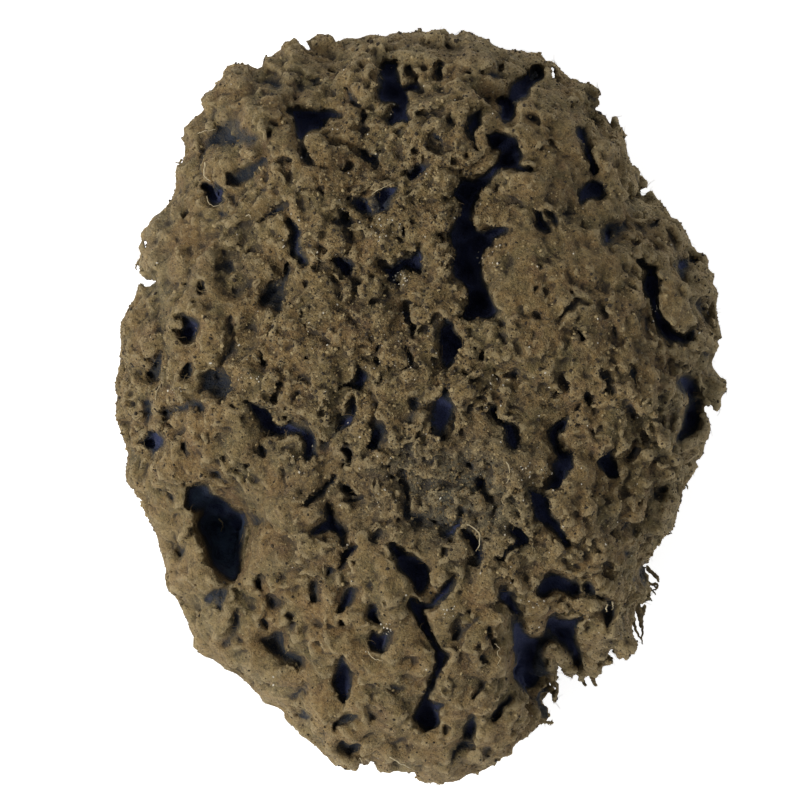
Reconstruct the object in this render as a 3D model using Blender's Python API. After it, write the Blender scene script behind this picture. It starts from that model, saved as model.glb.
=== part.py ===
"""A sea sponge as it is dried: one grown piece, lobed and cracked above, cut flat where it left its rock.

The sponge lies on its cut base. +X and +Y run across and along it, and +Z points up through its crown.
Sizes in the tables are millimetres. The origin is at the base, under the middle of the sponge.
"""

import math
import random
from typing import NamedTuple

import bmesh
import bpy
import numpy as np
from mathutils import Matrix, Vector, noise

MM = 0.001
WIDTH, LENGTH, HEIGHT = 122.8, 151.8, 62.0
WIDEST_Z = 22.0
BASE_DEPTH = -4.0
BASE_SHARE = 0.74
CROWN = Vector((2.0, 4.0))
RING_POINTS = 150
RING_LEVELS = 22
SURFACE_STEP = 0.7
TRIANGLES = 9600
SEED = 11
COLOUR = (0.105, 0.078, 0.043, 1.0)


class Hill(NamedTuple):
    """A broad swelling of the top: its middle, its reach and how far it rises."""

    x: float
    y: float
    reach: float
    rise: float


class Lobe(NamedTuple):
    """A knob that stands proud of the body: its middle, its half sizes and its turn about Z."""

    x: float
    y: float
    z: float
    half_x: float
    half_y: float
    half_z: float
    turn_deg: float = 0.0


class Cleft(NamedTuple):
    """A hole, slot or crack in the top: how deep it is, and x, y and half width along it."""

    depth: float
    path: tuple


# The edge of the sponge as seen from above, clockwise from the top.
OUTLINE = (
    (0.4, 75.5), (9.0, 74.7), (15.0, 71.9), (24.0, 70.5), (28.6, 66.3), (35.4, 63.5), (34.8, 59.9),
    (38.6, 57.1), (41.4, 51.1), (45.0, 44.7), (49.6, 39.1), (54.0, 33.5), (57.8, 28.7), (59.4, 22.7),
    (59.8, 15.1), (58.4, 9.5), (61.0, 4.3), (59.6, -0.5), (56.6, -0.5), (57.6, -4.9), (56.2, -11.3),
    (52.8, -15.7), (51.2, -22.5), (47.4, -27.9), (46.0, -32.9), (46.0, -38.9), (43.2, -43.3),
    (42.8, -49.3), (37.6, -50.9), (35.2, -55.7), (30.4, -54.9), (27.8, -53.5), (26.8, -61.3),
    (22.0, -66.5), (18.0, -70.1), (12.0, -73.5), (4.0, -75.5), (-1.6, -73.3), (-8.0, -73.1),
    (-10.8, -71.3), (-15.0, -72.9), (-19.6, -69.7), (-24.8, -65.1), (-30.4, -59.9), (-36.0, -54.5),
    (-43.0, -50.1), (-45.6, -46.9), (-49.0, -38.9), (-51.4, -31.9), (-54.0, -23.7), (-58.6, -16.5),
    (-59.2, -9.9), (-60.4, -0.9), (-60.8, 4.7), (-59.8, 13.1), (-58.6, 18.9), (-55.8, 24.1),
    (-53.6, 24.9), (-56.4, 28.7), (-55.6, 35.1), (-51.4, 38.9), (-48.8, 43.1), (-48.6, 48.1),
    (-47.4, 53.1), (-43.4, 59.1), (-43.0, 62.1), (-39.2, 67.1), (-34.4, 68.7), (-30.4, 69.7),
    (-25.2, 73.1), (-22.4, 71.5), (-17.4, 73.7), (-8.0, 74.3),
)

HILLS = (
    Hill(32, 20, 16, 4.0), Hill(31, 54, 12, 4.5), Hill(2, 58, 14, 3.5), Hill(-30, 56, 14, 3.0),
    Hill(-46, 18, 13, 3.0), Hill(-38, -7, 12, 3.0), Hill(-44, -38, 12, 2.5), Hill(-14, 10, 16, 3.0),
    Hill(-20, -32, 13, 3.0), Hill(-6, -46, 11, 3.0), Hill(10, -53, 9, 3.5), Hill(-14, -60, 10, 2.0),
    Hill(40, -22, 13, 3.0), Hill(46, -2, 9, 3.5), Hill(22, -14, 12, 2.5), Hill(14, -34, 10, 3.0),
)

LOBES = (
    Lobe(-51.5, 33.0, 23, 6.0, 5.5, 6.5), Lobe(-50.5, 28.0, 25, 5.5, 3.5, 6.0),
    Lobe(56.6, 4.4, 22, 4.0, 4.2, 4.5), Lobe(49.0, 21.5, 37, 5.5, 5.5, 6.0),
    Lobe(38.6, 31.4, 45, 2.6, 2.4, 4.5), Lobe(-36.0, 63.5, 25, 5.0, 4.2, 6.0, 30),
    Lobe(-26.6, 67.8, 24, 4.6, 4.2, 6.5), Lobe(-17.8, 70.8, 26, 4.8, 3.4, 5.0),
    Lobe(-41.0, 59.0, 22, 4.0, 4.5, 5.5), Lobe(32.5, 61.5, 27, 4.0, 4.0, 5.5),
    Lobe(26.5, -51.0, 26, 2.2, 5.0, 7.0, -35), Lobe(34.0, -50.5, 24, 3.2, 6.0, 8.0, -20),
    Lobe(40.5, -44.0, 25, 2.6, 5.5, 7.0, 10), Lobe(2.5, -70.5, 22, 6.0, 5.0, 6.0),
    Lobe(-5.0, -69.0, 23, 4.5, 4.5, 6.0), Lobe(-15.0, -68.0, 22, 5.0, 4.5, 6.0),
)

CLEFTS = (
    # The long crack beside the plateau, from the top right down to the middle.
    Cleft(24, ((13.6, 46.7, 2.0), (8.6, 42.5, 2.0), (8.8, 37.5, 2.1), (9.0, 32.1, 3.0), (9.5, 28.0, 3.2),
               (10.4, 23.0, 2.6), (12.0, 19.6, 2.5), (8.6, 17.6, 1.2), (7.2, 15.0, 1.9),
               (5.2, 12.0, 2.1), (5.2, 9.0, 1.3))),
    Cleft(9, ((12.2, 33.2, 1.5), (14.2, 33.5, 1.5), (17.0, 34.9, 0.8))),
    Cleft(15, ((14.0, 52.7, 1.1), (17.0, 53.1, 1.6), (18.4, 50.1, 1.9), (18.0, 47.5, 1.8),
               (13.6, 46.7, 1.6))),
    Cleft(14, ((22.0, 66.5, 1.8), (20.4, 64.1, 1.5), (17.6, 62.1, 1.5), (17.0, 58.7, 1.8),
               (17.2, 57.1, 1.2))),
    Cleft(8, ((11.6, 58.7, 0.9), (10.4, 56.5, 1.2), (10.6, 53.7, 1.1), (11.2, 52.3, 0.7))),
    # Holes of the top and the upper left.
    Cleft(14, ((-6.4, 67.1, 1.7), (-6.4, 62.7, 2.2), (-3.6, 60.1, 1.8), (-4.4, 57.1, 1.7))),
    Cleft(8, ((-3.6, 62.7, 1.0), (-0.6, 63.9, 1.0))),
    Cleft(12, ((-26.0, 58.5, 0.7), (-22.4, 56.9, 2.2), (-19.6, 56.7, 1.8), (-17.4, 58.3, 0.8))),
    Cleft(8, ((-23.8, 55.1, 1.4), (-24.0, 52.9, 0.9))),
    Cleft(7, ((-11.6, 50.7, 0.9), (-10.0, 49.1, 1.4), (-8.8, 48.5, 1.0))),
    Cleft(5, ((-43.4, 53.1, 1.7), (-38.0, 52.1, 1.7), (-33.2, 53.1, 1.7))),
    Cleft(4, ((-36.8, 45.5, 1.4), (-34.0, 47.5, 1.4))),
    Cleft(11, ((-43.0, 44.3, 1.6), (-41.0, 42.5, 2.1), (-39.6, 41.5, 1.3))),
    Cleft(6, ((-31.4, 37.3, 0.7), (-29.0, 38.5, 1.0), (-27.8, 39.5, 1.0))),
    Cleft(7, ((-40.4, 27.5, 0.9), (-38.0, 28.3, 1.4), (-36.8, 27.1, 1.0))),
    Cleft(8, ((-44.0, 23.6, 1.0), (-43.9, 23.4, 1.0))),
    Cleft(9, ((-46.6, 16.1, 1.7), (-45.0, 15.5, 1.7), (-46.4, 13.7, 1.5))),
    Cleft(8, ((-46.2, 7.5, 1.6), (-46.8, 5.9, 1.3))),
    Cleft(8, ((-52.0, 8.7, 1.3), (-53.6, 5.5, 1.2), (-54.4, 0.1, 1.4), (-54.2, -3.0, 1.3),
              (-52.8, -7.1, 2.1), (-54.0, -9.0, 1.5))),
    Cleft(6, ((-50.4, -1.9, 1.0), (-47.0, -0.9, 1.1), (-44.0, -0.3, 1.2))),
    Cleft(9, ((-42.4, 5.1, 1.4), (-39.6, 5.5, 1.9), (-37.6, 4.1, 1.8))),
    # The great hollow of the lower left, and the holes round it.
    Cleft(22, ((-44.4, -17.3, 2.6), (-41.0, -20.9, 3.4), (-38.4, -24.5, 4.2), (-38.4, -29.3, 3.6),
               (-38.0, -33.3, 2.0))),
    Cleft(13, ((-36.6, -20.9, 2.4), (-32.8, -23.3, 1.2))),
    Cleft(5, ((-41.0, -13.5, 1.0), (-37.6, -15.9, 1.0), (-35.6, -17.3, 0.8))),
    Cleft(7, ((-42.8, -38.1, 1.2), (-41.0, -37.3, 1.6), (-39.6, -36.5, 1.2))),
    Cleft(5, ((-36.0, -42.5, 1.0), (-37.6, -45.9, 1.2), (-39.6, -47.3, 1.2))),
    Cleft(6, ((-27.0, -44.9, 1.4), (-29.0, -46.9, 1.6), (-28.6, -49.9, 1.4), (-25.0, -49.9, 1.4),
              (-23.4, -50.5, 1.2))),
    Cleft(9, ((-15.6, -50.9, 1.0), (-15.2, -53.9, 1.6), (-15.2, -56.9, 1.8), (-15.2, -58.3, 0.9))),
    Cleft(6, ((-23.8, -61.3, 1.4), (-23.0, -62.3, 1.0))),
    Cleft(6, ((-15.0, -67.9, 1.6), (-13.0, -67.9, 1.3))),
    Cleft(5, ((-16.0, -63.5, 0.8), (-14.0, -62.1, 1.2), (-12.8, -61.7, 0.8))),
    # The crumbled middle.
    Cleft(9, ((-13.6, 41.1, 1.0), (-11.6, 39.5, 1.6), (-9.0, 39.7, 1.8), (-6.0, 41.1, 1.4),
              (-4.4, 43.1, 0.8))),
    Cleft(5, ((-17.0, 36.1, 0.8), (-15.0, 36.7, 1.6), (-13.6, 35.9, 1.2))),
    Cleft(8, ((-26.4, 34.7, 1.0), (-24.6, 35.5, 1.2), (-24.4, 32.7, 1.2), (-24.0, 30.1, 1.2),
              (-22.4, 28.7, 1.2))),
    Cleft(9, ((-17.4, 28.7, 1.0), (-15.4, 28.1, 1.6), (-14.2, 26.5, 1.3))),
    Cleft(9, ((-27.4, 24.5, 1.4), (-30.4, 22.1, 1.6), (-28.4, 21.1, 2.2), (-27.6, 19.5, 1.6))),
    Cleft(5, ((-31.6, 18.7, 1.4), (-33.0, 16.1, 1.2))),
    Cleft(9, ((-7.6, 28.1, 0.9), (-5.6, 27.5, 1.4), (-3.0, 28.7, 1.4), (-0.4, 29.5, 1.4),
              (0.0, 27.1, 1.2))),
    Cleft(6, ((-3.0, 18.5, 1.0), (-2.4, 16.1, 0.9), (-1.6, 14.7, 0.7))),
    Cleft(8, ((-3.0, 45.1, 1.2), (-1.0, 46.1, 1.8), (0.4, 47.5, 1.2))),
    Cleft(9, ((-35.0, 0.1, 1.3), (-31.6, -2.5, 1.5), (-29.0, -4.3, 1.7), (-25.6, -4.3, 1.2),
              (-23.0, -5.3, 1.2), (-21.6, -7.5, 1.8), (-21.6, -9.9, 1.4))),
    Cleft(7, ((-20.0, -7.5, 0.7), (-17.0, -5.3, 0.8), (-15.0, -3.3, 1.3), (-13.6, -0.9, 1.0),
              (-13.2, 0.7, 0.8))),
    Cleft(8, ((-15.6, 3.5, 0.9), (-12.4, 4.5, 1.4), (-11.6, 6.1, 1.2), (-9.6, 6.1, 0.7))),
    Cleft(7, ((-15.2, -8.3, 0.8), (-14.2, -9.5, 1.2), (-13.6, -11.5, 0.8))),
    Cleft(9, ((-8.6, -4.5, 1.4), (-9.6, -7.9, 1.4))),
    Cleft(10, ((4.6, 2.7, 1.0), (4.0, 0.1, 1.8), (4.6, -1.9, 1.8), (3.6, -4.5, 1.4))),
    Cleft(5, ((18.4, 6.5, 1.2), (15.0, 4.7, 1.1), (13.0, 3.5, 1.0), (11.0, 0.1, 1.0))),
    Cleft(9, ((14.4, 0.1, 1.0), (15.6, -1.9, 0.8), (17.0, -4.9, 1.6), (18.6, -7.9, 1.6),
              (18.0, -9.3, 0.8))),
    Cleft(7, ((8.4, -10.3, 0.8), (10.4, -12.5, 0.7), (11.6, -14.5, 1.2), (12.4, -15.9, 1.2),
              (13.0, -18.3, 1.0))),
    Cleft(5, ((-17.2, -13.7, 0.8), (-19.0, -16.5, 1.0), (-22.4, -18.9, 0.8))),
    Cleft(7, ((-15.4, -15.5, 0.8), (-14.2, -16.3, 1.0))),
    Cleft(8, ((-18.0, -20.1, 0.8), (-18.0, -22.5, 1.4), (-19.4, -24.7, 1.0))),
    Cleft(8, ((-16.4, -24.5, 1.2), (-15.0, -27.0, 1.0), (-13.6, -28.5, 1.2), (-15.6, -30.5, 0.8))),
    Cleft(7, ((-13.2, -36.9, 0.8), (-14.8, -38.9, 1.4), (-16.0, -40.5, 0.8))),
    Cleft(6, ((-20.8, -35.3, 1.2), (-20.6, -37.9, 0.9))),
    Cleft(8, ((-9.6, -39.5, 1.2), (-8.8, -41.9, 1.2))),
    Cleft(9, ((-9.6, -45.9, 1.4), (-8.0, -47.1, 1.8), (-6.2, -45.9, 1.0))),
    # The forked crack of the lower middle.
    Cleft(13, ((-5.4, -27.7, 1.0), (-3.6, -30.9, 1.6), (-1.0, -31.9, 2.0), (-0.4, -34.9, 1.8),
               (-1.0, -37.9, 1.6), (1.6, -40.9, 1.6), (2.0, -45.9, 1.2), (3.4, -48.5, 1.2),
               (4.0, -50.5, 1.2), (2.8, -53.9, 1.0), (1.6, -57.9, 1.4), (1.0, -61.3, 2.2),
               (1.6, -63.5, 1.5))),
    Cleft(8, ((6.0, -34.5, 0.8), (4.0, -36.5, 1.4), (2.0, -38.5, 1.0), (-0.4, -39.5, 0.7))),
    Cleft(5, ((10.0, -43.3, 0.8), (7.6, -44.9, 1.2), (6.4, -46.9, 0.8))),
    Cleft(8, ((2.0, -23.9, 0.8), (5.0, -22.9, 1.0), (7.0, -24.5, 1.1), (8.4, -21.9, 1.0),
              (9.0, -19.9, 1.0))),
    Cleft(8, ((9.6, -24.9, 1.2), (11.0, -27.9, 1.4), (12.4, -29.5, 1.2))),
    Cleft(8, ((18.0, -24.9, 1.0), (20.0, -25.9, 1.6), (21.2, -26.3, 1.0))),
    Cleft(10, ((21.6, -16.9, 1.0), (23.0, -18.9, 1.6), (24.0, -21.9, 1.8), (26.4, -24.5, 1.2),
               (28.0, -26.5, 1.0))),
    Cleft(9, ((28.4, -3.3, 1.2), (27.0, -4.9, 1.2), (26.6, -6.9, 1.0), (27.4, -8.9, 1.2),
              (28.0, -12.0, 1.8), (26.4, -14.9, 1.4), (24.0, -16.5, 1.2))),
    Cleft(9, ((17.0, -36.5, 1.4), (17.0, -38.9, 1.6), (18.4, -41.3, 1.2), (19.0, -43.3, 0.8))),
    Cleft(6, ((9.4, -61.0, 1.2), (9.6, -66.0, 1.8), (8.0, -68.5, 1.6))),
    Cleft(6, ((16.8, -58.5, 0.8), (14.8, -61.5, 1.2))),
    # The torn hollow of the lower right, open between its blades.
    Cleft(20, ((19.0, -44.5, 1.6), (21.6, -49.9, 3.4), (23.0, -55.9, 3.2), (24.6, -59.9, 2.2))),
    Cleft(17, ((25.6, -43.9, 1.8), (28.4, -43.3, 2.6), (30.4, -47.9, 2.2), (32.0, -51.9, 1.4))),
    Cleft(8, ((37.2, -40.5, 1.6), (37.2, -42.9, 1.0))),
    Cleft(7, ((31.0, -35.9, 1.8), (33.4, -36.3, 1.4), (36.0, -37.9, 0.7))),
    Cleft(6, ((44.0, -29.3, 0.9), (44.2, -33.9, 1.5), (43.8, -36.5, 1.2))),
    Cleft(5, ((40.4, -22.9, 0.8), (42.4, -24.9, 1.1), (42.8, -26.5, 0.8))),
    # The right side, where plates stand over deep shadow.
    Cleft(10, ((34.4, -11.3, 0.8), (37.0, -10.9, 1.7), (38.0, -13.3, 1.5))),
    Cleft(9, ((39.0, -9.9, 0.9), (42.0, -8.9, 0.9), (45.6, -6.9, 0.8))),
    Cleft(14, ((44.0, 28.7, 1.0), (46.0, 27.5, 1.3), (45.6, 24.1, 1.9), (46.0, 21.1, 1.5),
               (47.4, 17.5, 1.7), (49.0, 14.9, 1.8), (51.6, 13.5, 1.4), (54.0, 14.1, 0.9))),
    Cleft(10, ((51.0, 28.1, 1.2), (53.6, 28.5, 1.4), (56.0, 29.5, 0.9))),
    Cleft(8, ((56.0, 20.1, 1.6), (57.4, 17.5, 1.8), (57.0, 15.5, 1.4))),
    Cleft(6, ((37.8, 32.9, 1.7), (38.6, 35.5, 1.7), (41.0, 36.1, 1.2))),
    Cleft(6, ((42.4, 35.7, 0.9), (45.0, 35.3, 1.0), (47.6, 36.3, 0.9))),
    Cleft(8, ((32.4, 42.7, 1.6), (35.4, 43.5, 1.6), (36.0, 44.7, 1.2))),
    Cleft(8, ((23.6, 38.1, 0.9), (23.6, 35.5, 1.4), (25.2, 34.7, 1.0))),
    Cleft(8, ((31.4, 55.1, 1.0), (32.6, 53.1, 1.0), (33.4, 50.1, 1.0), (34.0, 48.1, 1.2),
              (34.4, 45.9, 1.0))),
    Cleft(7, ((42.4, 47.1, 1.1), (43.6, 44.7, 1.4), (44.0, 43.5, 1.0))),
    Cleft(11, ((52.4, 4.3, 1.4), (54.4, 4.5, 1.6), (54.6, 1.1, 1.7), (55.0, -2.9, 1.8),
               (53.0, -4.9, 1.6), (51.0, -6.3, 0.9))),
    Cleft(6, ((46.0, -16.3, 1.0), (45.6, -18.3, 0.9), (48.4, -16.9, 1.1))),
)

CLEFT_EDGE = (1.4, 0.75)
CANAL_MOUTHS = 130
FLANK_REACH = 0.72
MOUTH_RADIUS = (1.7, 3.8)
MOUTH_DEPTH = (3.0, 8.0)
BASE_CANALS = 34
CANAL_RADIUS = (1.0, 3.8)
CANAL_DEPTH = 12.0
CLEAR_OF_ORIGIN = 7.0


def clear_scene():
    for old in list(bpy.data.objects):
        bpy.data.objects.remove(old)


def smooth(values, low, high):
    """0 below low, 1 above high, with an even bend between; low may be the larger."""
    share = np.clip((values - low) / (high - low), 0.0, 1.0)
    return share * share * (3.0 - 2.0 * share)


def edge_points():
    """The outline as a smooth closed curve, with evenly spaced points."""
    curve = []
    for index, start in enumerate(OUTLINE):
        before = Vector(OUTLINE[index - 1])
        a, b = Vector(start), Vector(OUTLINE[(index + 1) % len(OUTLINE)])
        after = Vector(OUTLINE[(index + 2) % len(OUTLINE)])
        for part in range(8):
            t = part / 8
            bend = 2 * a + (b - before) * t + (2 * before - 5 * a + 4 * b - after) * t * t
            curve.append(0.5 * (bend + (3 * a - before - 3 * b + after) * t ** 3))
    steps = [(curve[i] - curve[i - 1]).length for i in range(1, len(curve))]
    steps.append((curve[0] - curve[-1]).length)
    along, total = np.concatenate([[0.0], np.cumsum(steps)]), sum(steps)
    wanted = np.linspace(0.0, total, RING_POINTS, endpoint=False)
    closed = curve + curve[:1]
    xs = np.interp(wanted, along, [p.x for p in closed])
    ys = np.interp(wanted, along, [p.y for p in closed])
    return [Vector((x, y)) for x, y in zip(xs, ys)]


def ring_share(z):
    """How wide the loaf is at height z, as a share of its outline."""
    if z >= WIDEST_Z:
        climb = (z - WIDEST_Z) / (HEIGHT - WIDEST_Z)
        return (1.0 - climb ** 2.3) ** (1 / 2.1)
    drop = (WIDEST_Z - z) / WIDEST_Z
    return 1.0 - (1.0 - BASE_SHARE) * drop ** 2.2


def add_body(bm):
    """The loaf: rings of the outline from below the base up to the crown, closed at both ends."""
    edge = edge_points()
    rings = []
    for level in range(RING_LEVELS):
        climb = math.sin(0.5 * math.pi * level / RING_LEVELS)
        z = BASE_DEPTH + (HEIGHT - BASE_DEPTH) * climb
        share = ring_share(z)
        spots = [CROWN + (p - CROWN) * share for p in edge]
        rings.append([bm.verts.new((s.x, s.y, z)) for s in spots])
    for low, high in zip(rings, rings[1:]):
        for i in range(RING_POINTS):
            bm.faces.new((low[i - 1], high[i - 1], high[i], low[i]))
    top = bm.verts.new((CROWN.x, CROWN.y, HEIGHT))
    for i in range(RING_POINTS):
        bm.faces.new((rings[-1][i - 1], top, rings[-1][i]))
    bm.faces.new(rings[0])


def add_lobe(bm, lobe):
    turn = Matrix.Rotation(math.radians(lobe.turn_deg), 4, "Z")
    size = Matrix.Diagonal((lobe.half_x, lobe.half_y, lobe.half_z, 1.0))
    place = Matrix.Translation((lobe.x, lobe.y, lobe.z))
    bmesh.ops.create_icosphere(bm, subdivisions=3, radius=1.0, matrix=place @ turn @ size)


def evaluated_copy(obj):
    """A plain mesh of the object with its modifiers applied."""
    graph = bpy.context.evaluated_depsgraph_get()
    return bpy.data.meshes.new_from_object(obj.evaluated_get(graph), depsgraph=graph).copy()


def new_object(name, mesh):
    obj = bpy.data.objects.new(name, mesh)
    bpy.context.scene.collection.objects.link(obj)
    return obj


def fused(mesh):
    """The mesh's overlapping shapes as one closed skin of even squares."""
    helper = new_object("fusing", mesh)
    remesh = helper.modifiers.new("fuse", "REMESH")
    remesh.mode = "VOXEL"
    remesh.voxel_size = SURFACE_STEP * MM
    result = evaluated_copy(helper)
    bpy.data.objects.remove(helper)
    return result


def arrays_of(mesh):
    """The mesh's points in millimetres, and their outward directions."""
    points = np.empty(len(mesh.vertices) * 3)
    mesh.vertices.foreach_get("co", points)
    outward = np.empty(len(mesh.vertices) * 3)
    mesh.vertices.foreach_get("normal", outward)
    return points.reshape(-1, 3) / MM, outward.reshape(-1, 3)


def store_points(mesh, points):
    mesh.vertices.foreach_set("co", (points * MM).ravel())
    mesh.update()


def hill_rise(points):
    rise = np.zeros(len(points))
    for hill in HILLS:
        away = np.hypot(points[:, 0] - hill.x, points[:, 1] - hill.y)
        rise += hill.rise * np.exp(-((away / hill.reach) ** 2))
    return rise


def cleft_depth(points, cleft):
    """How deep the cleft is under each point: full along its middle, rising to its edges."""
    near = np.full(len(points), 9.0)
    path = np.array(cleft.path)
    for a, b in zip(path, path[1:]):
        run = b[:2] - a[:2]
        offset = points[:, :2] - a[:2]
        share = np.clip(offset @ run / (run @ run), 0.0, 1.0)
        away = np.linalg.norm(offset - share[:, None] * run, axis=1)
        near = np.minimum(near, away / (a[2] + share * (b[2] - a[2])))
    return cleft.depth * smooth(near, *CLEFT_EDGE)


def lump_height(point):
    """Rough swellings of the skin: rounded cells with ridges between them."""
    cell = noise.voronoi(point / 7.5, distance_metric="DISTANCE")[0]
    small = noise.voronoi(point / 3.6, distance_metric="DISTANCE")[0]
    drift = noise.fractal(point / 11.0, 1.0, 2.0, 3)
    return 1.5 * (0.55 - cell[0]) + 0.8 * (0.5 - small[0]) + 1.1 * drift


def swell(mesh):
    """Raises the hills and the rough lumps on the fused body."""
    points, outward = arrays_of(mesh)
    above = smooth(points[:, 2], 14.0, 40.0)
    points[:, 2] += hill_rise(points) * above
    lumps = np.array([lump_height(Vector(p)) for p in points])
    points += outward * lumps[:, None]
    store_points(mesh, points)


def carve_clefts(mesh):
    """Sinks every cleft straight down into the upward-facing skin."""
    points, outward = arrays_of(mesh)
    depth = np.zeros(len(points))
    for cleft in CLEFTS:
        depth = np.maximum(depth, cleft_depth(points, cleft))
    points[:, 2] -= depth * smooth(outward[:, 2], 0.02, 0.3)
    store_points(mesh, points)


def carve_mouths(mesh):
    """Sinks canal mouths into the flanks and between the clefts, and canals up into the base."""
    chance = random.Random(SEED)
    points, outward = arrays_of(mesh)
    spread = points[:, :2] / (0.5 * WIDTH, 0.5 * LENGTH)
    reach = np.linalg.norm(spread, axis=1)
    facing = np.sum(spread * outward[:, :2], axis=1)
    flank = np.flatnonzero((points[:, 2] > 3.0) & (reach > FLANK_REACH) & (facing > 0.3))
    push = np.zeros(len(points))
    for _ in range(CANAL_MOUTHS):
        centre = points[chance.choice(flank)]
        radius = chance.uniform(*MOUTH_RADIUS)
        deep = chance.uniform(*MOUTH_DEPTH)
        away = np.linalg.norm(points - centre, axis=1) / radius
        push = np.maximum(push, deep * smooth(away, 1.2, 0.5))
    points -= outward * push[:, None]
    under = np.flatnonzero(points[:, 2] < BASE_DEPTH + 1.5)
    for _ in range(BASE_CANALS):
        centre = points[chance.choice(under)]
        radius = chance.uniform(*CANAL_RADIUS)
        away = np.hypot(points[under, 0] - centre[0], points[under, 1] - centre[1])
        clear = smooth(np.hypot(points[under, 0], points[under, 1]), 0.6 * CLEAR_OF_ORIGIN, CLEAR_OF_ORIGIN)
        points[under, 2] += CANAL_DEPTH * clear * smooth(away / radius, 1.2, 0.7)
        under = np.flatnonzero(points[:, 2] < BASE_DEPTH + 1.5)
    store_points(mesh, points)


def base_cutter():
    """The block that cuts everything below the surface the sponge rests on."""
    bm = bmesh.new()
    bmesh.ops.create_cube(bm, size=1.0)
    bmesh.ops.scale(bm, verts=bm.verts, vec=(2 * WIDTH * MM, 2 * LENGTH * MM, 40 * MM))
    bmesh.ops.translate(bm, verts=bm.verts, vec=(0.0, 0.0, -20 * MM))
    mesh = bpy.data.meshes.new("base_cutter")
    bm.to_mesh(mesh)
    bm.free()
    cutter = new_object("base_cutter", mesh)
    cutter.display_type = "WIRE"
    cutter.hide_render = True
    return cutter


def sponge_skin():
    material = bpy.data.materials.new("sponge_skin")
    material.use_nodes = True
    shader = material.node_tree.nodes["Principled BSDF"]
    shader.inputs["Base Color"].default_value = COLOUR
    shader.inputs["Roughness"].default_value = 0.93
    shader.inputs["Metallic"].default_value = 0.0
    return material


def largest_piece(mesh):
    """Drops crumbs that a deep cleft cut loose, keeping the one grown body."""
    bm = bmesh.new()
    bm.from_mesh(mesh)
    unseen, groups = set(bm.verts), []
    while unseen:
        group, edge = set(), [unseen.pop()]
        while edge:
            vert = edge.pop()
            group.add(vert)
            for link in vert.link_edges:
                other = link.other_vert(vert)
                if other in unseen:
                    unseen.remove(other)
                    edge.append(other)
        groups.append(group)
    keep = max(groups, key=len)
    bmesh.ops.delete(bm, geom=[v for v in bm.verts if v not in keep], context="VERTS")
    bm.to_mesh(mesh)
    bm.free()


def build_sponge():
    bm = bmesh.new()
    add_body(bm)
    for lobe in LOBES:
        add_lobe(bm, lobe)
    bmesh.ops.scale(bm, verts=bm.verts, vec=(MM, MM, MM))
    bmesh.ops.recalc_face_normals(bm, faces=bm.faces)
    mesh = bpy.data.meshes.new("block")
    bm.to_mesh(mesh)
    bm.free()
    mesh = fused(mesh)
    swell(mesh)
    carve_clefts(mesh)
    mesh = fused(mesh)
    carve_mouths(mesh)
    mesh = fused(mesh)
    largest_piece(mesh)
    sponge = new_object("sponge", mesh)
    thin = sponge.modifiers.new("fewer faces", "DECIMATE")
    thin.ratio = TRIANGLES / (2 * len(mesh.polygons))
    thin.use_collapse_triangulate = True
    cut = sponge.modifiers.new("cut base", "BOOLEAN")
    cut.operation = "DIFFERENCE"
    cut.object = base_cutter()
    sponge.data.materials.append(sponge_skin())
    return sponge


def main():
    clear_scene()
    build_sponge()


main()
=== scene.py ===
"""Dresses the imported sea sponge: its pitted body, crumbs, fibres, threads and grit, on a pale floor."""

import sys
import logging
import math
from dataclasses import dataclass, field
from enum import Enum, IntEnum
from typing import Any, Iterable, Union

import bpy
import numpy as np
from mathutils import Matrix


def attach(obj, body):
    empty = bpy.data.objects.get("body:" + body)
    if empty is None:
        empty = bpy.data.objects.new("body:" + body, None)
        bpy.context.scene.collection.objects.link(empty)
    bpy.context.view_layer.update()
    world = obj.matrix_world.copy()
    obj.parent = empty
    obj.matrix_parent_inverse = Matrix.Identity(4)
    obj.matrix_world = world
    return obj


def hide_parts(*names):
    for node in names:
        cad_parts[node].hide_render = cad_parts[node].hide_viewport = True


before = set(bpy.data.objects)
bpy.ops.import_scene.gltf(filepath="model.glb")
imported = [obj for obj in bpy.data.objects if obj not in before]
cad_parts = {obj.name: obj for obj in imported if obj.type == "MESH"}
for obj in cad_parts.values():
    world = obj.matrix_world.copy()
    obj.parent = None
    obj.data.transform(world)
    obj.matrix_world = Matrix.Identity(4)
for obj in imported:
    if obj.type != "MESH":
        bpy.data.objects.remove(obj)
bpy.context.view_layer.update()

import openvdb
from mathutils import Vector

MM = 0.001
NODE = "sponge"
BODY = "root"
SEED = 29

log = logging.getLogger("sea sponge")

Point = tuple[float, float]
Array = np.ndarray


class Slot(Enum):
    """The record's material slots."""

    SPONGE = "sponge"
    FIBRE = "fibre"
    GRIT = "grit"


@dataclass(frozen=True)
class PhotoScale:
    """Turns a place in the photograph, in its own pixels, into millimetres on the sponge.

    Attributes:
        mm_per_pixel: How long a pixel is on the sponge, in mm.
        origin_u: Where the part's origin is across the photograph, in pixels.
        origin_v: Where it is down the photograph, in pixels.
        middle_u: The photograph's middle across, in pixels.
        middle_v: The photograph's middle down, in pixels.
        pixels: How wide the photograph is, in pixels.
    """

    mm_per_pixel: float = 0.2
    origin_u: float = 420.0
    origin_v: float = 405.5
    middle_u: float = 400.0
    middle_v: float = 400.0
    pixels: float = 800.0

    def place(self, u: float, v: float) -> Point:
        """Gives x and y in millimetres of a pixel."""
        return (u - self.origin_u) * self.mm_per_pixel, (self.origin_v - v) * self.mm_per_pixel

    def length(self, pixels: float) -> float:
        """Gives a length in millimetres."""
        return pixels * self.mm_per_pixel


PHOTO = PhotoScale()


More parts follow.
